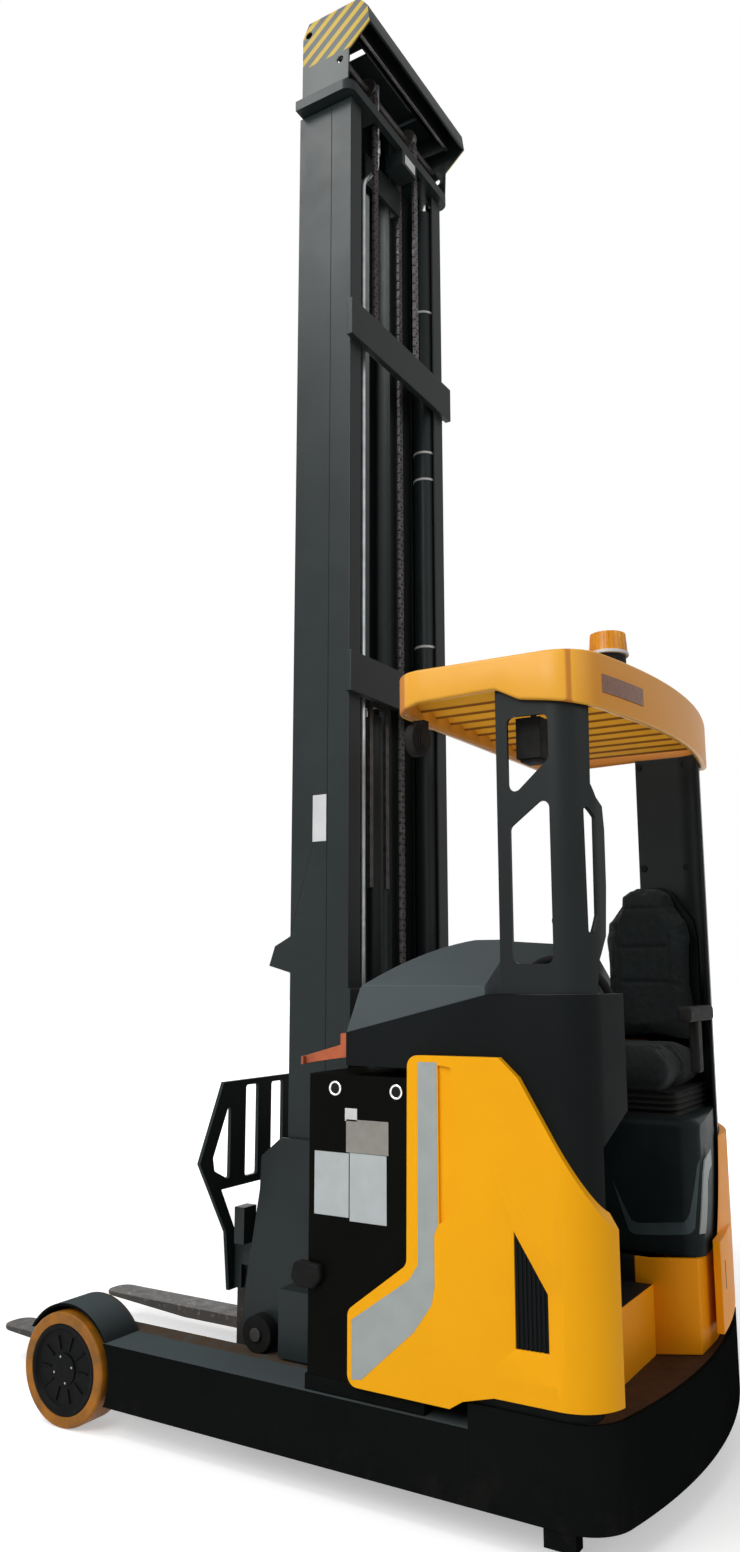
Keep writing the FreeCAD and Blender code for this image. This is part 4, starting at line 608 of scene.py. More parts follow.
def rimTrack(inset):  # half of the plan from the middle of the front to the middle of the rear
    half, frontRadius, rearRadius, bow = (rimSet[key] - inset for key in ("half", "frontRadius", "rearRadius", "bow"))
    front = rimSet["front"] + inset
    frontCentre = front + frontRadius
    centre = half - rearRadius
    lean = centre / (bow - rearRadius)
    bowCentre = rimSet["rear"] - rimSet["bow"]
    turnAlong = bowCentre + (bow - rearRadius) * math.sqrt(1 - lean ** 2)
    corner, sides, bows = rimSet["cornerSteps"], rimSet["sideSteps"], rimSet["bowSteps"]
    track = [((half - frontRadius) * step / rimSet["frontSteps"], front) for step in range(rimSet["frontSteps"])]
    for step in range(corner):
        turn = math.pi / 2 * step / corner
        track.append((half - frontRadius + frontRadius * math.sin(turn), frontCentre - frontRadius * math.cos(turn)))
    track += [(half, frontCentre + (turnAlong - frontCentre) * step / sides) for step in range(sides)]
    for step in range(corner):
        turn = (math.pi / 2 - math.asin(lean)) * step / corner
        track.append((centre + rearRadius * math.cos(turn), turnAlong + rearRadius * math.sin(turn)))
    for step in range(bows + 1):
        turn = math.asin(lean) * (1 - step / bows)
        track.append((bow * math.sin(turn), bowCentre + bow * math.cos(turn)))
    return track


def rimBottom(along):
    for (first, low), (last, high) in zip(rimSet["bottom"], rimSet["bottom"][1:]):
        if along <= last:
            return low + (high - low) * max(0, along - first) / (last - first)
    return rimSet["bottom"][-1][1]


def rimSection(edge, wall, steps=3):  # inset, height from the edge it belongs to, and whether that is the top
    turns = [math.pi / 2 * step / steps for step in range(steps + 1)]
    arc = [(edge - edge * math.cos(turn), edge - edge * math.sin(turn)) for turn in turns]
    above = [(inset, level, True) for inset, level in arc]
    above += [(wall - inset, level, True) for inset, level in reversed(arc)]
    return above + [(inset, level, False) for inset, level, _ in reversed(above)]


section = rimSection(rimSet["edge"], rimSet["wall"])
tracks = [rimTrack(inset) for inset, _, _ in section]
rounds = [track + [(-across, along) for across, along in track[-2:0:-1]] for track in tracks]
deselectAll()
bpy.ops.mesh.primitive_torus_add(major_segments=len(rounds[0]), minor_segments=len(section), location=(0, 0, 0))
rim = settle("guardRim")
for count, corner in enumerate(rim.data.vertices):
    station, place = divmod(count, len(section))
    across, along = rounds[place][station]
    _, level, atTop = section[place]
    corner.co = at(across, along, rimSet["top"] - level if atTop else rimBottom(along) + level)
pick(rim)
bpy.ops.object.mode_set(mode="EDIT")
faceOutwards()
bpy.ops.object.shade_smooth_by_angle(angle=smoothAngle["rounded"])
stands(rim, "guard_rim", "guardYellow")
print("guard rim made")

# ---- left side moulding: rolled border, sunk slot beside the tape, flared pocket with its grille
panelSet = {
    "face": 0.635, "rolled": (0.009, 4, 40), "crease": (0.003, 2, 30), "tapeThick": 0.0006, "tapeSunk": 0.0004,
    "tapeEdge": (0.0003, 1), "pocketProud": 0.002, "louvreThrough": 0.05,
    "slot": [(1.312, 1.126), (1.349, 1.121), (1.371, 0.797), (1.362, 0.770), (1.312, 0.733)], "slotDepth": 0.008,
    "pocket": [(1.448, 0.905), (1.640, 0.625), (1.629, 0.414), (1.438, 0.415)], "middle": (1.54, 0.58), "flare": 0.12,
    "louvre": [(1.511, 0.735), (1.598, 0.600), (1.598, 0.466), (1.510, 0.464)], "louvreDepth": 0.016, "proud": 0.01,
    "tape": [(1.252, 1.132), (1.309, 1.133), (1.309, 0.731), (1.297, 0.705), (1.297, 0.579), (1.288, 0.536),
             (1.236, 0.464), (1.079, 0.325), (1.049, 0.320), (1.048, 0.466), (1.223, 0.587), (1.249, 0.627)],
}
face, louvreTop = panelSet["face"], panelSet["louvre"]
proud = face + panelSet["proud"]
pocket = [tuple(value + (value - middle) * panelSet["flare"] for value, middle in zip(corner, panelSet["middle"]))
          for corner in panelSet["pocket"]]
panel = rounded(softCopy("side_panel_left"), *panelSet["rolled"])
carve(panel, outlinePiece("slotCutter", panelSet["slot"], face - panelSet["slotDepth"], proud))
carve(panel, outlinePiece("pocketCutter", pocket, face + panelSet["pocketProud"], face - panelSet["louvreDepth"],
                          farOutline=louvreTop))
carve(panel, outlinePiece("louvreCutter", louvreTop, face - panelSet["louvreThrough"], proud))
rounded(panel, *panelSet["crease"])
stands(panel, "side_panel_left", "mouldedYellow")

grilleSet = {  # depths are measured in from the face
    "bars": 8, "first": 1.513, "pitch": 0.0115, "wide": 0.0055, "bottom": 0.464, "depths": (0.028, 0.019),
    "top": 0.735, "topFrom": 1.511, "topSlope": 1.55, "backDepths": (0.036, 0.030),
    "rail": ((1.510, 0.598), (1.598, 0.604)), "railDepths": (0.030, 0.022), "edge": (0.0008, 1),
}
bars = []
for count in range(grilleSet["bars"]):
    along = grilleSet["first"] + grilleSet["pitch"] * count
    top = grilleSet["top"] - max(0.0, along - grilleSet["topFrom"]) * grilleSet["topSlope"]
    deep, shallow = (face - depth for depth in grilleSet["depths"])
    bars.append(boxPiece("louvreBar", (deep, along, grilleSet["bottom"]), (shallow, along + grilleSet["wide"], top)))
bars.append(outlinePiece("louvreBack", louvreTop, *(face - depth for depth in grilleSet["backDepths"])))
railLow, railHigh = ((face - depth, *spot) for depth, spot in zip(grilleSet["railDepths"], grilleSet["rail"]))
bars.append(boxPiece("louvreRail", railLow, railHigh))
dress(rounded(joined("louvreGrille", bars), *grilleSet["edge"]), "housingBlack")
tape = outlinePiece("panelTape", panelSet["tape"], face - panelSet["tapeSunk"], face + panelSet["tapeThick"])
dress(rounded(tape, *panelSet["tapeEdge"]), "tapeGrey")
print("left moulding built")

# ---- hood with its soft shoulders
hoodSet = {"shoulder": 0.022, "segments": 4, "angle": 14}
stands(softCopy("hood", hoodSet["shoulder"], hoodSet["segments"], hoodSet["angle"]), "hood", "hoodGrey")

# ---- battery: lifting eyes, blank plates, latch and bent bracket
batterySet = {
    "face": 0.611, "plateRise": (0.0002, 0.0012), "eyes": [(0.979, 1.049), (1.174, 1.049)], "eyeRadius": 0.017,
    "eyeWire": 0.0035, "eyeProud": 0.001, "holeSunk": 0.0005, "holeGap": 0.002, "holeDepth": 0.003,
    "holeEdge": (0.0005, 1), "plateEdge": (0.0003, 1), "latchEdge": (0.006, 3), "bracketEdge": (0.0015, 2),
    "plates": {"plateBlank": ((1.015, 0.882), (1.149, 0.969), "plateMetal"),
               "labelSmall": ((1.011, 0.964), (1.050, 0.998), "labelWhite"),
               "paperFront": ((0.912, 0.713), (1.024, 0.879), "paperWhite"),
               "paperRear": ((1.027, 0.705), (1.143, 0.881), "paperWhite")},
    "latch": [(0.846, 0.545), (0.856, 0.583), (0.879, 0.592), (0.941, 0.585), (0.946, 0.551), (0.921, 0.523),
              (0.866, 0.521)], "latchSpan": (0.6115, 0.6335),
    "arm": [(0.862, 1.110), (0.857, 1.130), (0.982, 1.165), (0.982, 1.196), (1.009, 1.199), (1.009, 1.132),
            (0.960, 1.126)], "armSpan": (0.585, 0.592), "lip": ((0.585, 0.858, 1.108), (0.606, 0.866, 1.131)),
}
face = batterySet["face"]
for count, (along, up) in enumerate(batterySet["eyes"], 1):
    radius = batterySet["eyeRadius"]
    eye = ringPiece(f"batteryEye{count}", (face + batterySet["eyeProud"], along, up), radius, batterySet["eyeWire"],
                    "X")
    dress(eye, "brightRod")
    hole = discPiece(f"batteryEyeHole{count}", (face - batterySet["holeSunk"], along, up),
                     radius - batterySet["holeGap"], batterySet["holeDepth"], "X")
    dress(rounded(hole, *batterySet["holeEdge"]), "rubberBlack")
for name, (low, high, look) in batterySet["plates"].items():
    under, over = (face + rise for rise in batterySet["plateRise"])
    plate = boxPiece(name, (under, *low), (over, *high))
    dress(rounded(plate, *batterySet["plateEdge"]), look)
latch = outlinePiece("batteryLatch", batterySet["latch"], *batterySet["latchSpan"])
dress(rounded(latch, *batterySet["latchEdge"]), "castBlack")
arm = outlinePiece("bracketArm", batterySet["arm"], *batterySet["armSpan"])
lip = boxPiece("bracketLip", *batterySet["lip"])
dress(rounded(joined("cableBracket", [arm, lip]), *batterySet["bracketEdge"]), "bracketOrange")
print("battery dressed")

# ---- seat: two padded pieces, sewn after they are filled
seatSet = {
    "shrink": 0.012, "corner": 0.035, "voxel": 0.006, "pressure": 4.0, "steps": 20, "reach": 0.024, "fill": 0.7,
    "lineWidth": 0.006, "lineDepth": 0.010, "sideShare": 0.8, "sideBelow": 0.03, "sideAbove": 0.01, "facing": 0.25,
    "cushionRound": (4, 30), "backRound": (4, 40), "backCorner": 0.85,
    "cushionLines": [(-0.19, 0.10)], "cushionSide": 0.100, "cushionMiddle": 1.535,
    "backLines": [(1.579, 0.078), (1.448, 0.082), (1.334, 0.088)], "backSide": 0.086, "backFront": 0.030,
    "backShape": [(1, 0.17), (0.93, 0.115), (0.66, 0.06), (0.50, 0.015), (0.30, 0)],  # share of the half width, drop
    "shellSpan": (0.002, 0.022), "shellEdge": 0.006,
}


def stuffed(piece):
    applied(piece, "REMESH", mode="VOXEL", voxel_size=seatSet["voxel"])
    pick(piece)
    start = [corner.co.copy() for corner in piece.data.vertices]
    bpy.ops.object.modifier_add(type="CLOTH")
    cloth = piece.modifiers[-1]
    cloth.settings.use_pressure = True
    cloth.settings.uniform_pressure_force = seatSet["pressure"]
    cloth.settings.effector_weights.gravity = 0
    for step in range(1, seatSet["steps"] + 1):
        bpy.context.scene.frame_set(step)
    filled = piece.evaluated_get(bpy.context.evaluated_depsgraph_get()).to_mesh()
    ends = [corner.co.copy() for corner in filled.vertices]
    piece.modifiers.remove(cloth)
    for corner, first, last in zip(piece.data.vertices, start, ends):
        move = last - first
        corner.co = first + move * min(1.0, seatSet["reach"] / max(move.length, 1e-6))
    bpy.context.scene.frame_set(1)


def groove(distance):
    return math.exp(-((distance / seatSet["lineWidth"]) ** 2))


def sewn(piece, upAxis, outward, lines, sideSeam, middle):
    # grooves across the middle panel at each line, and one down each side of it
    levels = [line for line, _ in lines]
    for corner, normal in zip(piece.data.vertices, [v.normal.copy() for v in piece.data.vertices]):
        facingUs = normal.dot(Vector(outward))
        if facingUs < seatSet["facing"]:
            continue
        aside = abs(corner.co.y - axleY - middle)
        level = corner.co[upAxis]
        sink = max([0] + [groove(level - line) for line, half in lines if aside < half])
        if min(levels) - seatSet["sideBelow"] < level < max(levels) + seatSet["sideAbove"]:
            sink = max(sink, seatSet["sideShare"] * groove(aside - sideSeam))
        corner.co -= Vector(outward) * seatSet["lineDepth"] * sink * facingUs


inset = Vector((1, 1, 1)) * seatSet["shrink"]
low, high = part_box("seat_cushion")
cushion = rounded(blockPiece("seatCushion", low + inset, high - inset), seatSet["corner"], *seatSet["cushionRound"])
stuffed(cushion)
sewn(cushion, 0, (0, 0, 1), seatSet["cushionLines"], seatSet["cushionSide"], seatSet["cushionMiddle"])
low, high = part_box("seat_back")
middle = (low.y + high.y) / 2 - axleY
half = (high.y - low.y) / 2 - seatSet["shrink"]
top, bottom = high.z - seatSet["shrink"], low.z + seatSet["shrink"]
shoulder = [(half * share, top - drop) for share, drop in seatSet["backShape"]]
backOutline = [(middle - half, bottom), (middle + half, bottom)]
backOutline += [(middle + aside, up) for aside, up in shoulder]
backOutline += [(middle - aside, up) for aside, up in reversed(shoulder)]
backrest = outlinePiece("seatBackrest", backOutline, low.x + seatSet["backFront"], high.x - seatSet["shrink"])
rounded(backrest, seatSet["corner"] * seatSet["backCorner"], *seatSet["backRound"])
stuffed(backrest)
sewn(backrest, 2, (1, 0, 0), seatSet["backLines"], seatSet["backSide"], middle)
for piece, nodeName in ((cushion, "seat_cushion"), (backrest, "seat_back")):
    applied(piece, "SUBSURF", levels=1, render_levels=1)
    bpy.ops.object.shade_smooth()
    stands(piece, nodeName, "seatCloth")
shell = outlinePiece("seatShell", backOutline, *(low.x + out for out in seatSet["shellSpan"]))
dress(rounded(shell, seatSet["shellEdge"], 3), "housingBlack")

bellowsSet = {"folds": 4, "tuck": 0.93, "corner": 0.04, "cornerSteps": 3, "edge": (0.003, 2, 25)}
low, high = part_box("seat_suspension")
span = high - low
middle = (low + high) / 2
foldHeight = span.z / bellowsSet["folds"] / 2
deselectAll()
bpy.ops.mesh.primitive_plane_add(size=1, location=(middle.x, middle.y, low.z))
bellows = settle("seatBellows")
bpy.ops.object.mode_set(mode="EDIT")
bpy.ops.transform.resize(value=(span.x, span.y, 1))
bpy.ops.mesh.bevel(offset=bellowsSet["corner"], segments=bellowsSet["cornerSteps"], affect="VERTICES")
for count in range(bellowsSet["folds"] * 2):
    bpy.ops.mesh.extrude_region_move(TRANSFORM_OT_translate={"value": (0, 0, foldHeight)})
    tuck = bellowsSet["tuck"] if count % 2 == 0 else 1 / bellowsSet["tuck"]
    bpy.ops.transform.resize(value=(tuck, tuck, 1))
faceOutwards()
rounded(bellows, *bellowsSet["edge"])
stands(bellows, "seat_suspension", "rubberBlack")
print("seat filled and sewn")

# ---- beacon
beaconSet = {"sides": 48, "baseRadius": 0.050, "baseHigh": 0.084, "ringRadius": 0.058, "ringHigh": 0.010,
             "lensRadius": 0.0535, "lensHigh": 0.055, "ribDepth": 0.0015, "taper": 0.93, "wallLean": 0.3,
             "baseEdge": (0.004, 3), "ringEdge": (0.002, 2), "lensEdge": (0.003, 3, 50)}
low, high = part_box("beacon")
beaconAt = ((low.x + high.x) / 2, (low.y + high.y) / 2 - axleY)


def beaconDisc(name, foot, part):
    radius, tall = beaconSet[part + "Radius"], beaconSet[part + "High"]
    return discPiece(name, (*beaconAt, foot + tall / 2), radius, tall, sides=beaconSet["sides"])


ringAt = low.z + beaconSet["baseHigh"]
lensAt = ringAt + beaconSet["ringHigh"]
dress(rounded(beaconDisc("beaconBase", low.z, "base"), *beaconSet["baseEdge"]), "rubberBlack")
dress(rounded(beaconDisc("beaconRing", ringAt, "ring"), *beaconSet["ringEdge"]), "labelWhite")
lens = beaconDisc("beaconLens", lensAt, "lens")


def everyOtherWall(faces):  # round the lens
    def turnOf(wall):
        middle = wall.calc_center_median() - at(*beaconAt, 0)
        return math.atan2(middle.y, middle.x)

    return sorted((wall for wall in faces if abs(wall.normal.z) < beaconSet["wallLean"]), key=turnOf)[::2]


openFaces(lens, everyOtherWall)
bpy.ops.mesh.extrude_region_shrink_fatten(TRANSFORM_OT_shrink_fatten={"value": beaconSet["ribDepth"]})
bpy.ops.object.mode_set(mode="OBJECT")
for corner in lens.data.vertices:
    if corner.co.z > lensAt + beaconSet["lensHigh"] / 2:
        centre = at(*beaconAt, corner.co.z)
        corner.co = centre + (corner.co - centre) * beaconSet["taper"]
rounded(lens, *beaconSet["lensEdge"])
stands(lens, "beacon", "amberLens")

# ---- working lamp under the guard's front corner
lampFit = {  # levels along are measured from the back of the lamp
    "up": 0.048, "can": (0.047, -0.026, 0.026), "core": (0.024, -0.010, 0.026), "glass": (0.042, -0.0395, 0.002),
    "finRadii": (0.046, 0.043, 0.039, 0.034, 0.028), "finFirst": -0.012, "finPitch": 0.0045, "finThick": 0.0028,
    "yoke": ((-0.040, -0.014, 0.025), (0.012, -0.006, 0.056)),
    "yokeFoot": ((-0.042, -0.046, 0.056), (-0.012, -0.006, 0.062)), "edge": (0.0012, 2), "glassEdge": (0.001, 2),
}
low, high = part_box("work_light")
lampAt = Vector(((low.x + high.x) / 2, high.y - axleY, low.z + lampFit["up"]))


def lampDisc(name, radius, along, length, sides=40):
    return discPiece(name, lampAt + Vector((0, along, 0)), radius, length, "Y", sides)


can = [lampDisc("lampCan", *lampFit["can"])]
for count, radius in enumerate(lampFit["finRadii"]):
    can.append(lampDisc("lampFin", radius, lampFit["finFirst"] + lampFit["finPitch"] * count, lampFit["finThick"]))
can.append(lampDisc("lampCore", *lampFit["core"], sides=24))
for part in ("yoke", "yokeFoot"):
    can.append(boxPiece("lampYoke", *(lampAt + Vector(corner) for corner in lampFit[part])))
stands(rounded(joined("workLamp", can), *lampFit["edge"]), "work_light", "rubberBlack")
glass = rounded(lampDisc("workLampGlass", *lampFit["glass"]), *lampFit["glassEdge"])
dress(glass, "labelWhite")
print("lamps made")

# ---- lift chains: plates and rollers, one link copied along each strand
chainSet = {
    "pitch": 0.0381, "plate": 0.0035, "plateHalf": 0.0058, "plateShare": 0.86, "side": 0.150, "width": 0.024,
    "pins": (0.2, 0.7), "pinRadius": 0.0048, "pinProud": 0.002, "frontAlong": 0.760, "rearAlong": 0.832,
    "frontLow": 0.370, "rearLow": 3.651, "sheaveAlong": 0.796, "sheaveUp": 4.637, "sheaveRadius": 0.042,
    "hubInset": 0.010, "hubDepth": 0.004, "wheelEdge": (0.0012, 2), "shaftRadius": 0.012, "shaftLength": 0.730,
    "shaftEdge": (0.001, 1),
}


def chainStrand(name, across, along, low, high):
    pitch, width, plate, half = (chainSet[key] for key in ("pitch", "width", "plate", "plateHalf"))
    link = []
    for count in range(4):
        aside = across - width / 2 + count * (width - plate) / 3
        foot = low + (0 if count in (0, 3) else pitch / 2)
        link.append(boxPiece("linkPlate", (aside, along - half, foot),
                             (aside + plate, along + half, foot + pitch * chainSet["plateShare"])))
    for step in chainSet["pins"]:
        link.append(discPiece("linkPin", (across, along, low + pitch * step), chainSet["pinRadius"],
                              width + chainSet["pinProud"], "X", 8))
    strand = applied(joined(name, link), "ARRAY", count=int((high - low) / pitch), use_relative_offset=False,
                     use_constant_offset=True, constant_offset_displace=(0, 0, pitch))
    bpy.ops.object.shade_smooth_by_angle(angle=smoothAngle["plain"])
    return strand


sheaveAt = (chainSet["sheaveAlong"], chainSet["sheaveUp"])
strands = []
for sign, label, look in ((1, "Left", "chainSteel"), (-1, "Right", "rollerBright")):
    across = sign * chainSet["side"]
    for end in ("Front", "Rear"):
        along, low = chainSet[end.lower() + "Along"], chainSet[end.lower() + "Low"]
        strands.append((chainStrand(f"chain{end}{label}", across, along, low, chainSet["sheaveUp"]), look))
    wheel = discPiece(f"chainSheave{label}", (across, *sheaveAt), chainSet["sheaveRadius"], chainSet["width"], "X", 40)
    openFaces(wheel, lambda faces: [side for side in faces if abs(side.normal.x) > 0.9])
    bpy.ops.mesh.inset(thickness=chainSet["hubInset"])
    bpy.ops.mesh.extrude_region_shrink_fatten(TRANSFORM_OT_shrink_fatten={"value": -chainSet["hubDepth"]})
    bpy.ops.object.mode_set(mode="OBJECT")
    strands.append((rounded(wheel, *chainSet["wheelEdge"]), look))
shaft = discPiece("sheaveShaft", (0, *sheaveAt), chainSet["shaftRadius"], chainSet["shaftLength"], "X", 24)
strands.append((rounded(shaft, *chainSet["shaftEdge"]), "chainSteel"))
for strand, look in strands:
    dress(strand, look, "middle_stage")
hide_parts("lift_chains")
print("chains laid")

# ---- controls
knobSet = {"count": 4, "first": -0.150, "pitch": 0.060, "radius": 0.017, "rise": 0.006, "stretch": 1.25,
           "sides": 24, "rings": 16, "leverEdge": 0.002}
stands(softCopy("steering_wheel"), "steering_wheel", "rubberBlack")
low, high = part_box("control_levers")
stands(softCopy("control_levers", knobSet["leverEdge"]), "control_levers", "housingBlack")
for count in range(knobSet["count"]):
    spot = (knobSet["first"] - knobSet["pitch"] * count, (low.y + high.y) / 2, high.z + knobSet["rise"])
    deselectAll()
    bpy.ops.mesh.primitive_uv_sphere_add(segments=knobSet["sides"], ring_count=knobSet["rings"],
                                         radius=knobSet["radius"], location=spot)
    knob = settle(f"leverKnob{count + 1}")
    bpy.ops.object.mode_set(mode="EDIT")
    bpy.ops.transform.resize(value=(1, 1, knobSet["stretch"]))
    bpy.ops.object.mode_set(mode="OBJECT")
    bpy.ops.object.shade_smooth()
    dress(knob, "rubberBlack")
print("controls done")

# ---- mast details: head holes, bright edge, lips, tube, clamp rings, seams and blank plates
mastSet = {
    "holes": [(0.684, 4.752), (0.820, 4.587)], "holeRadius": 0.014, "holeDepth": 0.03, "holeSides": 28, "cheek": 0.369,
    "edge": ((-0.350, 0.8705, 4.6985), (0.350, 0.8805, 4.7000)), "edgeRound": (0.0004, 1),
    "lip": ((-0.350, 0.872, 4.699), (0.350, 0.879, 4.7135)),
    "gusset": (0.328, 0.334), "gussetSpan": ((0.640, 4.690), (0.878, 4.790)),
    "roofHalf": 0.366, "roofGap": 0.004, "roofSpan": ((0.694, 4.774), (0.816, 4.792)),
    "roofEdge": ((0.8135, 4.772), (0.816, 4.7925)),
    "capLip": {"thick": 0.003, "inset": 0.002, "sunk": 0.001, "top": 4.7995},
    "plates": {"guidePlate": ((-0.088, 0.8683, 4.412), (-0.012, 0.8690, 4.450), "middle_stage"),
               "flankPlate": ((0.3378, 0.708, 1.779), (0.3386, 0.760, 1.930), "reach_mast")},
    "tube": [(0.100, 0.810, 4.690), (0.100, 0.810, 4.330), (0.197, 0.810, 4.215), (0.197, 0.810, 0.450)],
    "tubeRadius": 0.0085, "nutLevels": (4.440, 4.405), "nut": (0.014, 0.022),
    "clampLevels": (3.939, 3.344, 3.234, 2.566, 2.250), "barrelAt": (0.284, 0.792), "clamp": (0.0430, 0.009),
    "clampSides": 48, "clampRound": (0.0006, 1),
    "flank": 0.338, "seamDepths": (-0.0002, 0.0003), "seamSpan": ((0.7615, 0.26), (0.7645, 4.44)),
}


def beside(name, inner, outer, span):  # a plate on each side of the truck, between two distances from its middle
    near, far = span
    return [boxPiece(name, (inner, *near), (outer, *far)), boxPiece(name, (-outer, *near), (-inner, *far))]


head = bpy.data.objects["middle_mast_finished"]
for along, up in mastSet["holes"]:
    for sign in (1, -1):
        carve(head, discPiece("holeCutter", (sign * mastSet["cheek"], along, up), mastSet["holeRadius"],
                              mastSet["holeDepth"], "X", mastSet["holeSides"]))
headEdge = rounded(boxPiece("headEdge", *mastSet["edge"]), *mastSet["edgeRound"])
dress(headEdge, "bareSteel", "middle_stage")
low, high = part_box("inner_mast")
half = mastSet["roofHalf"]
roofLow, roofHigh = mastSet["roofEdge"]
lips = [boxPiece("headLip", *mastSet["lip"]), *beside("headGusset", *mastSet["gusset"], mastSet["gussetSpan"]),
        *beside("headRoof", high.x + mastSet["roofGap"], half, mastSet["roofSpan"]),
        boxPiece("headRoof", (-half, *roofLow), (half, *roofHigh))]
dress(joined("headLip", lips), "mastPaint", "middle_stage")
capSet = mastSet["capLip"]
capBack = high.y - axleY
capLip = boxPiece("capLip", (low.x + capSet["inset"], capBack - capSet["thick"], high.z - capSet["sunk"]),
                  (high.x - capSet["inset"], capBack, capSet["top"]))
dress(capLip, "mastPaint", bodyOf["inner_mast"])
for name, (near, far, body) in mastSet["plates"].items():
    dress(boxPiece(name, near, far), "labelWhite", body)
nutSpots = [(*mastSet["tube"][0][:2], level) for level in mastSet["nutLevels"]]
tube = tubePiece("headTube", mastSet["tube"], mastSet["tubeRadius"])
nuts = discs("headNuts", nutSpots, *mastSet["nut"], "Z")
dress(joined("headTube", [tube, nuts]), "tubeSteel", "middle_stage")
across, along = mastSet["barrelAt"]
clampSpots = [(sign * across, along, level) for level in mastSet["clampLevels"] for sign in (1, -1)]
clamps = discs("barrelClamps", clampSpots, *mastSet["clamp"], "Z", mastSet["clampSides"])
dress(rounded(clamps, *mastSet["clampRound"]), "labelWhite", "reach_mast")
seamInner, seamOuter = (mastSet["flank"] + depth for depth in mastSet["seamDepths"])
for seam, label in zip(beside("flankSeam", seamInner, seamOuter, mastSet["seamSpan"]), ("Left", "Right")):
    seam.name = seam.data.name = f"flankSeam{label}"
    dress(seam, "seamDark", "reach_mast")
print("mast detailed")

# ---- wheels: ribs, cap and bolts on the load hubs, and the pins of the reach rollers
hubSet = {"up": 0.165, "face": 0.6250, "ribs": 10, "ribIn": 0.056, "ribOut": 0.098, "ribWide": 0.0045,
          "ribHigh": 0.0045, "ribSunk": 0.001, "cap": (0.046, 0.005), "capAt": 0.002, "bolts": 4, "boltTurn": 0.2,
          "boltCircle": 0.038, "bolt": (0.0036, 0.004), "boltAt": 0.006, "edge": (0.0010, 2)}
hubAt = at(0, 0, hubSet["up"])
for sign, label in ((1, "left"), (-1, "right")):
    face = sign * hubSet["face"]
    low, high = sorted((face - sign * hubSet["ribSunk"], face + sign * hubSet["ribHigh"]))
    half = hubSet["ribWide"] / 2
    hub = [discPiece("hubCap", (face + sign * hubSet["capAt"], 0, hubSet["up"]), *hubSet["cap"], "X", 48)]
    for count in range(hubSet["ribs"]):
        turn = 2 * math.pi * (count + 0.5) / hubSet["ribs"]
        rib = boxPiece("hubRib", (low, -half, hubSet["ribIn"] + hubSet["up"]),
                       (high, half, hubSet["ribOut"] + hubSet["up"]))
        for corner in rib.data.vertices:
            arm = corner.co - hubAt
            corner.co.y = hubAt.y + arm.y * math.cos(turn) - arm.z * math.sin(turn)
            corner.co.z = hubAt.z + arm.y * math.sin(turn) + arm.z * math.cos(turn)
        hub.append(rib)
    dress(rounded(joined(f"hubRibs_{label}", hub), *hubSet["edge"]), "hubBlack", f"load_wheel_{label}")
    turns = [2 * math.pi * (count + hubSet["boltTurn"]) / hubSet["bolts"] for count in range(hubSet["bolts"])]
    boltSpots = [(face + sign * hubSet["boltAt"], hubSet["boltCircle"] * math.cos(turn),
                  hubSet["up"] + hubSet["boltCircle"] * math.sin(turn)) for turn in turns]
    dress(discs(f"hubBolts_{label}", boltSpots, *hubSet["bolt"]), "bareSteel", f"load_wheel_{label}")

rollerSet = {"proud": 0.0008, "radius": 0.052, "cap": (0.019, 0.002), "capSides": 28, "capEdge": (0.0008, 1)}
low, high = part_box("reach_rollers")
capSpots = [(across, along - axleY, (low.z + high.z) / 2)
            for along in (low.y + rollerSet["radius"], high.y - rollerSet["radius"])
            for across in (high.x + rollerSet["proud"], low.x - rollerSet["proud"])]
caps = discs("rollerCaps", capSpots, *rollerSet["cap"], sides=rollerSet["capSides"])
dress(rounded(caps, *rollerSet["capEdge"]), "forkSteel", "reach_mast")
print("hubs detailed")

# ---- guard and pillars: rear reflector, slot in the rear panel, inner lamp, bolts
guardSet = {
    "rear": 1.815, "bow": 2.200, "sunk": 0.001,
    "strips": {  # first and last place across, bottom, top, distance outside the bow, steps
        "rimReflector": (0.515, 0.300, 2.096, 2.146, 0.003, 12),
        "rearSlot": (-0.226, -0.232, 0.452, 0.530, 0.0005, 2),
    },
    "lamp": [((0.470, 1.516, 1.932), (0.548, 1.588, 2.046)), ((0.478, 1.524, 1.924), (0.540, 1.580, 1.934)),
             ((0.500, 1.545, 2.046), (0.512, 1.560, 2.125)), ((0.484, 1.530, 2.119), (0.530, 1.575, 2.125))],
    "bolts": ((1.495, 2.092), (1.655, 2.088), (1.498, 1.728), (1.648, 1.727)), "boltAcross": -0.586,
    "bolt": (0.013, 0.006), "boltEdge": (0.001, 1), "reflectorEdge": (0.001, 2), "lampEdge": (0.004, 2),
}


def bowStrip(name):  # a plate on the bowed rear of the body
    first, last, low, high, out, steps = guardSet["strips"][name]
    centre = guardSet["rear"] - guardSet["bow"]
    places = [first + (last - first) * step / steps for step in range(steps + 1)]
    outer, inner = ([(across, centre + math.sqrt((guardSet["bow"] + offset) ** 2 - across ** 2)) for across in places]
                    for offset in (out, -guardSet["sunk"]))
    return outlinePiece(name, outer + inner[::-1], low, high, "Z")


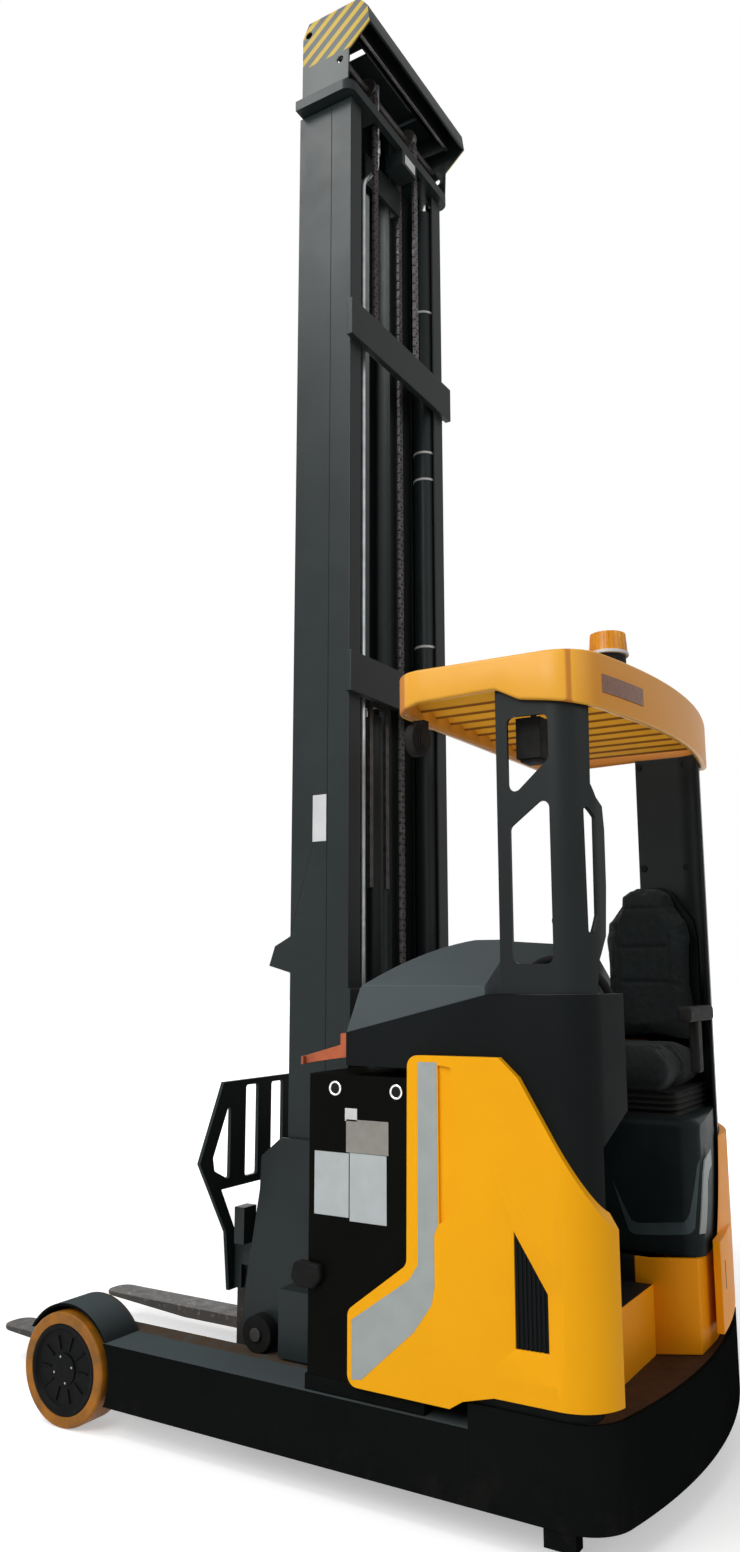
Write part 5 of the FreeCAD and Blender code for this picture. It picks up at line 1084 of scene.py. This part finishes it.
dress(rounded(bowStrip("rimReflector"), *guardSet["reflectorEdge"]), "reflectorRust")
dress(bowStrip("rearSlot"), "seamDark")
innerLamp = [boxPiece("lampPart", *corners) for corners in guardSet["lamp"]]
dress(rounded(joined("innerLamp", innerLamp), *guardSet["lampEdge"]), "rubberBlack")
boltSpots = [(guardSet["boltAcross"], *spot) for spot in guardSet["bolts"]]
dress(rounded(discs("pillarBolts", boltSpots, *guardSet["bolt"]), *guardSet["boltEdge"]), "castBlack")
print("guard detailed")

# ---- entry: painted face of the step's riser, and the seat base's raised trim
podSet = {
    "riser": ((-0.020, 1.6498, 0.303), (0.533, 1.6514, 0.4905)),
    "trimOuter": [(1.520, 0.751), (1.543, 0.676), (1.564, 0.614), (1.581, 0.605), (1.654, 0.611), (1.738, 0.622),
                  (1.749, 0.628), (1.757, 0.640), (1.766, 0.728), (1.775, 0.831)],
    "trimInner": [(1.526, 0.737), (1.549, 0.688), (1.573, 0.643), (1.592, 0.638), (1.655, 0.645), (1.729, 0.654),
                  (1.739, 0.666), (1.746, 0.682), (1.759, 0.748), (1.768, 0.811)],
    "stripOuter": [(0.124, 0.623), (0.150, 0.700), (0.165, 0.760), (0.185, 0.785), (0.215, 0.800)],
    "stripInner": [(0.103, 0.623), (0.117, 0.727), (0.128, 0.790), (0.142, 0.822), (0.215, 0.846)],
    "side": 0.084, "cornerAlong": 1.723, "corner": 0.055, "thick": 0.002,
}


def podTurn(past):  # how far the rounded corner of the seat base still reaches, past where it starts
    return math.sqrt(podSet["corner"] ** 2 - past ** 2)


def podSide(along, up):  # a point on the side of the seat base
    past = min(max(along - podSet["cornerAlong"], 0), podSet["corner"])
    return -podSet["side"] - podSet["corner"] + podTurn(past), along, up


def podRear(across, up):  # a point just off its rear
    past = max(podSet["side"] + podSet["corner"] - across, 0)
    return -across, podSet["cornerAlong"] + podTurn(past) + podSet["thick"], up


def finer(edge, parts=4):
    between = [tuple(a + (b - a) * step / parts for a, b in zip(first, last))
               for first, last in zip(edge, edge[1:]) for step in range(parts)]
    return between + [edge[-1]]


def ribbon(name, onto, firstEdge, lastEdge, thick):  # a thin strip between two edges of equal count
    edges = [[onto(*spot) for spot in finer(podSet[key])] for key in (firstEdge, lastEdge)]
    deselectAll()
    bpy.ops.mesh.primitive_grid_add(x_subdivisions=len(edges[0]) - 1, y_subdivisions=1, size=1, location=(0, 0, 0))
    piece = settle(name)
    for corner, spot in zip(piece.data.vertices, edges[0] + edges[1]):
        corner.co = at(*spot)
    return applied(piece, "SOLIDIFY", thickness=thick, offset=0)


dress(boxPiece("riserSkin", *podSet["riser"]), "rearYellow")
dress(ribbon("podTrim", podSide, "trimOuter", "trimInner", podSet["thick"]), "podTrim")
dress(ribbon("podStrip", podRear, "stripOuter", "stripInner", 2 * podSet["thick"]), "tapeGrey")
print("entry made")

# ---- seat arm beside the backrest
armSet = {"armPad": ((-0.420, 1.716, 1.215), (-0.150, 1.760, 1.262), 0.012),
          "armPost": ((-0.300, 1.722, 1.060), (-0.250, 1.752, 1.220), 0.008)}
arms = [rounded(boxPiece(name, low, high), edge, 3) for name, (low, high, edge) in armSet.items()]
dress(joined("seatArm", arms), "rubberBlack")
print("arm made")
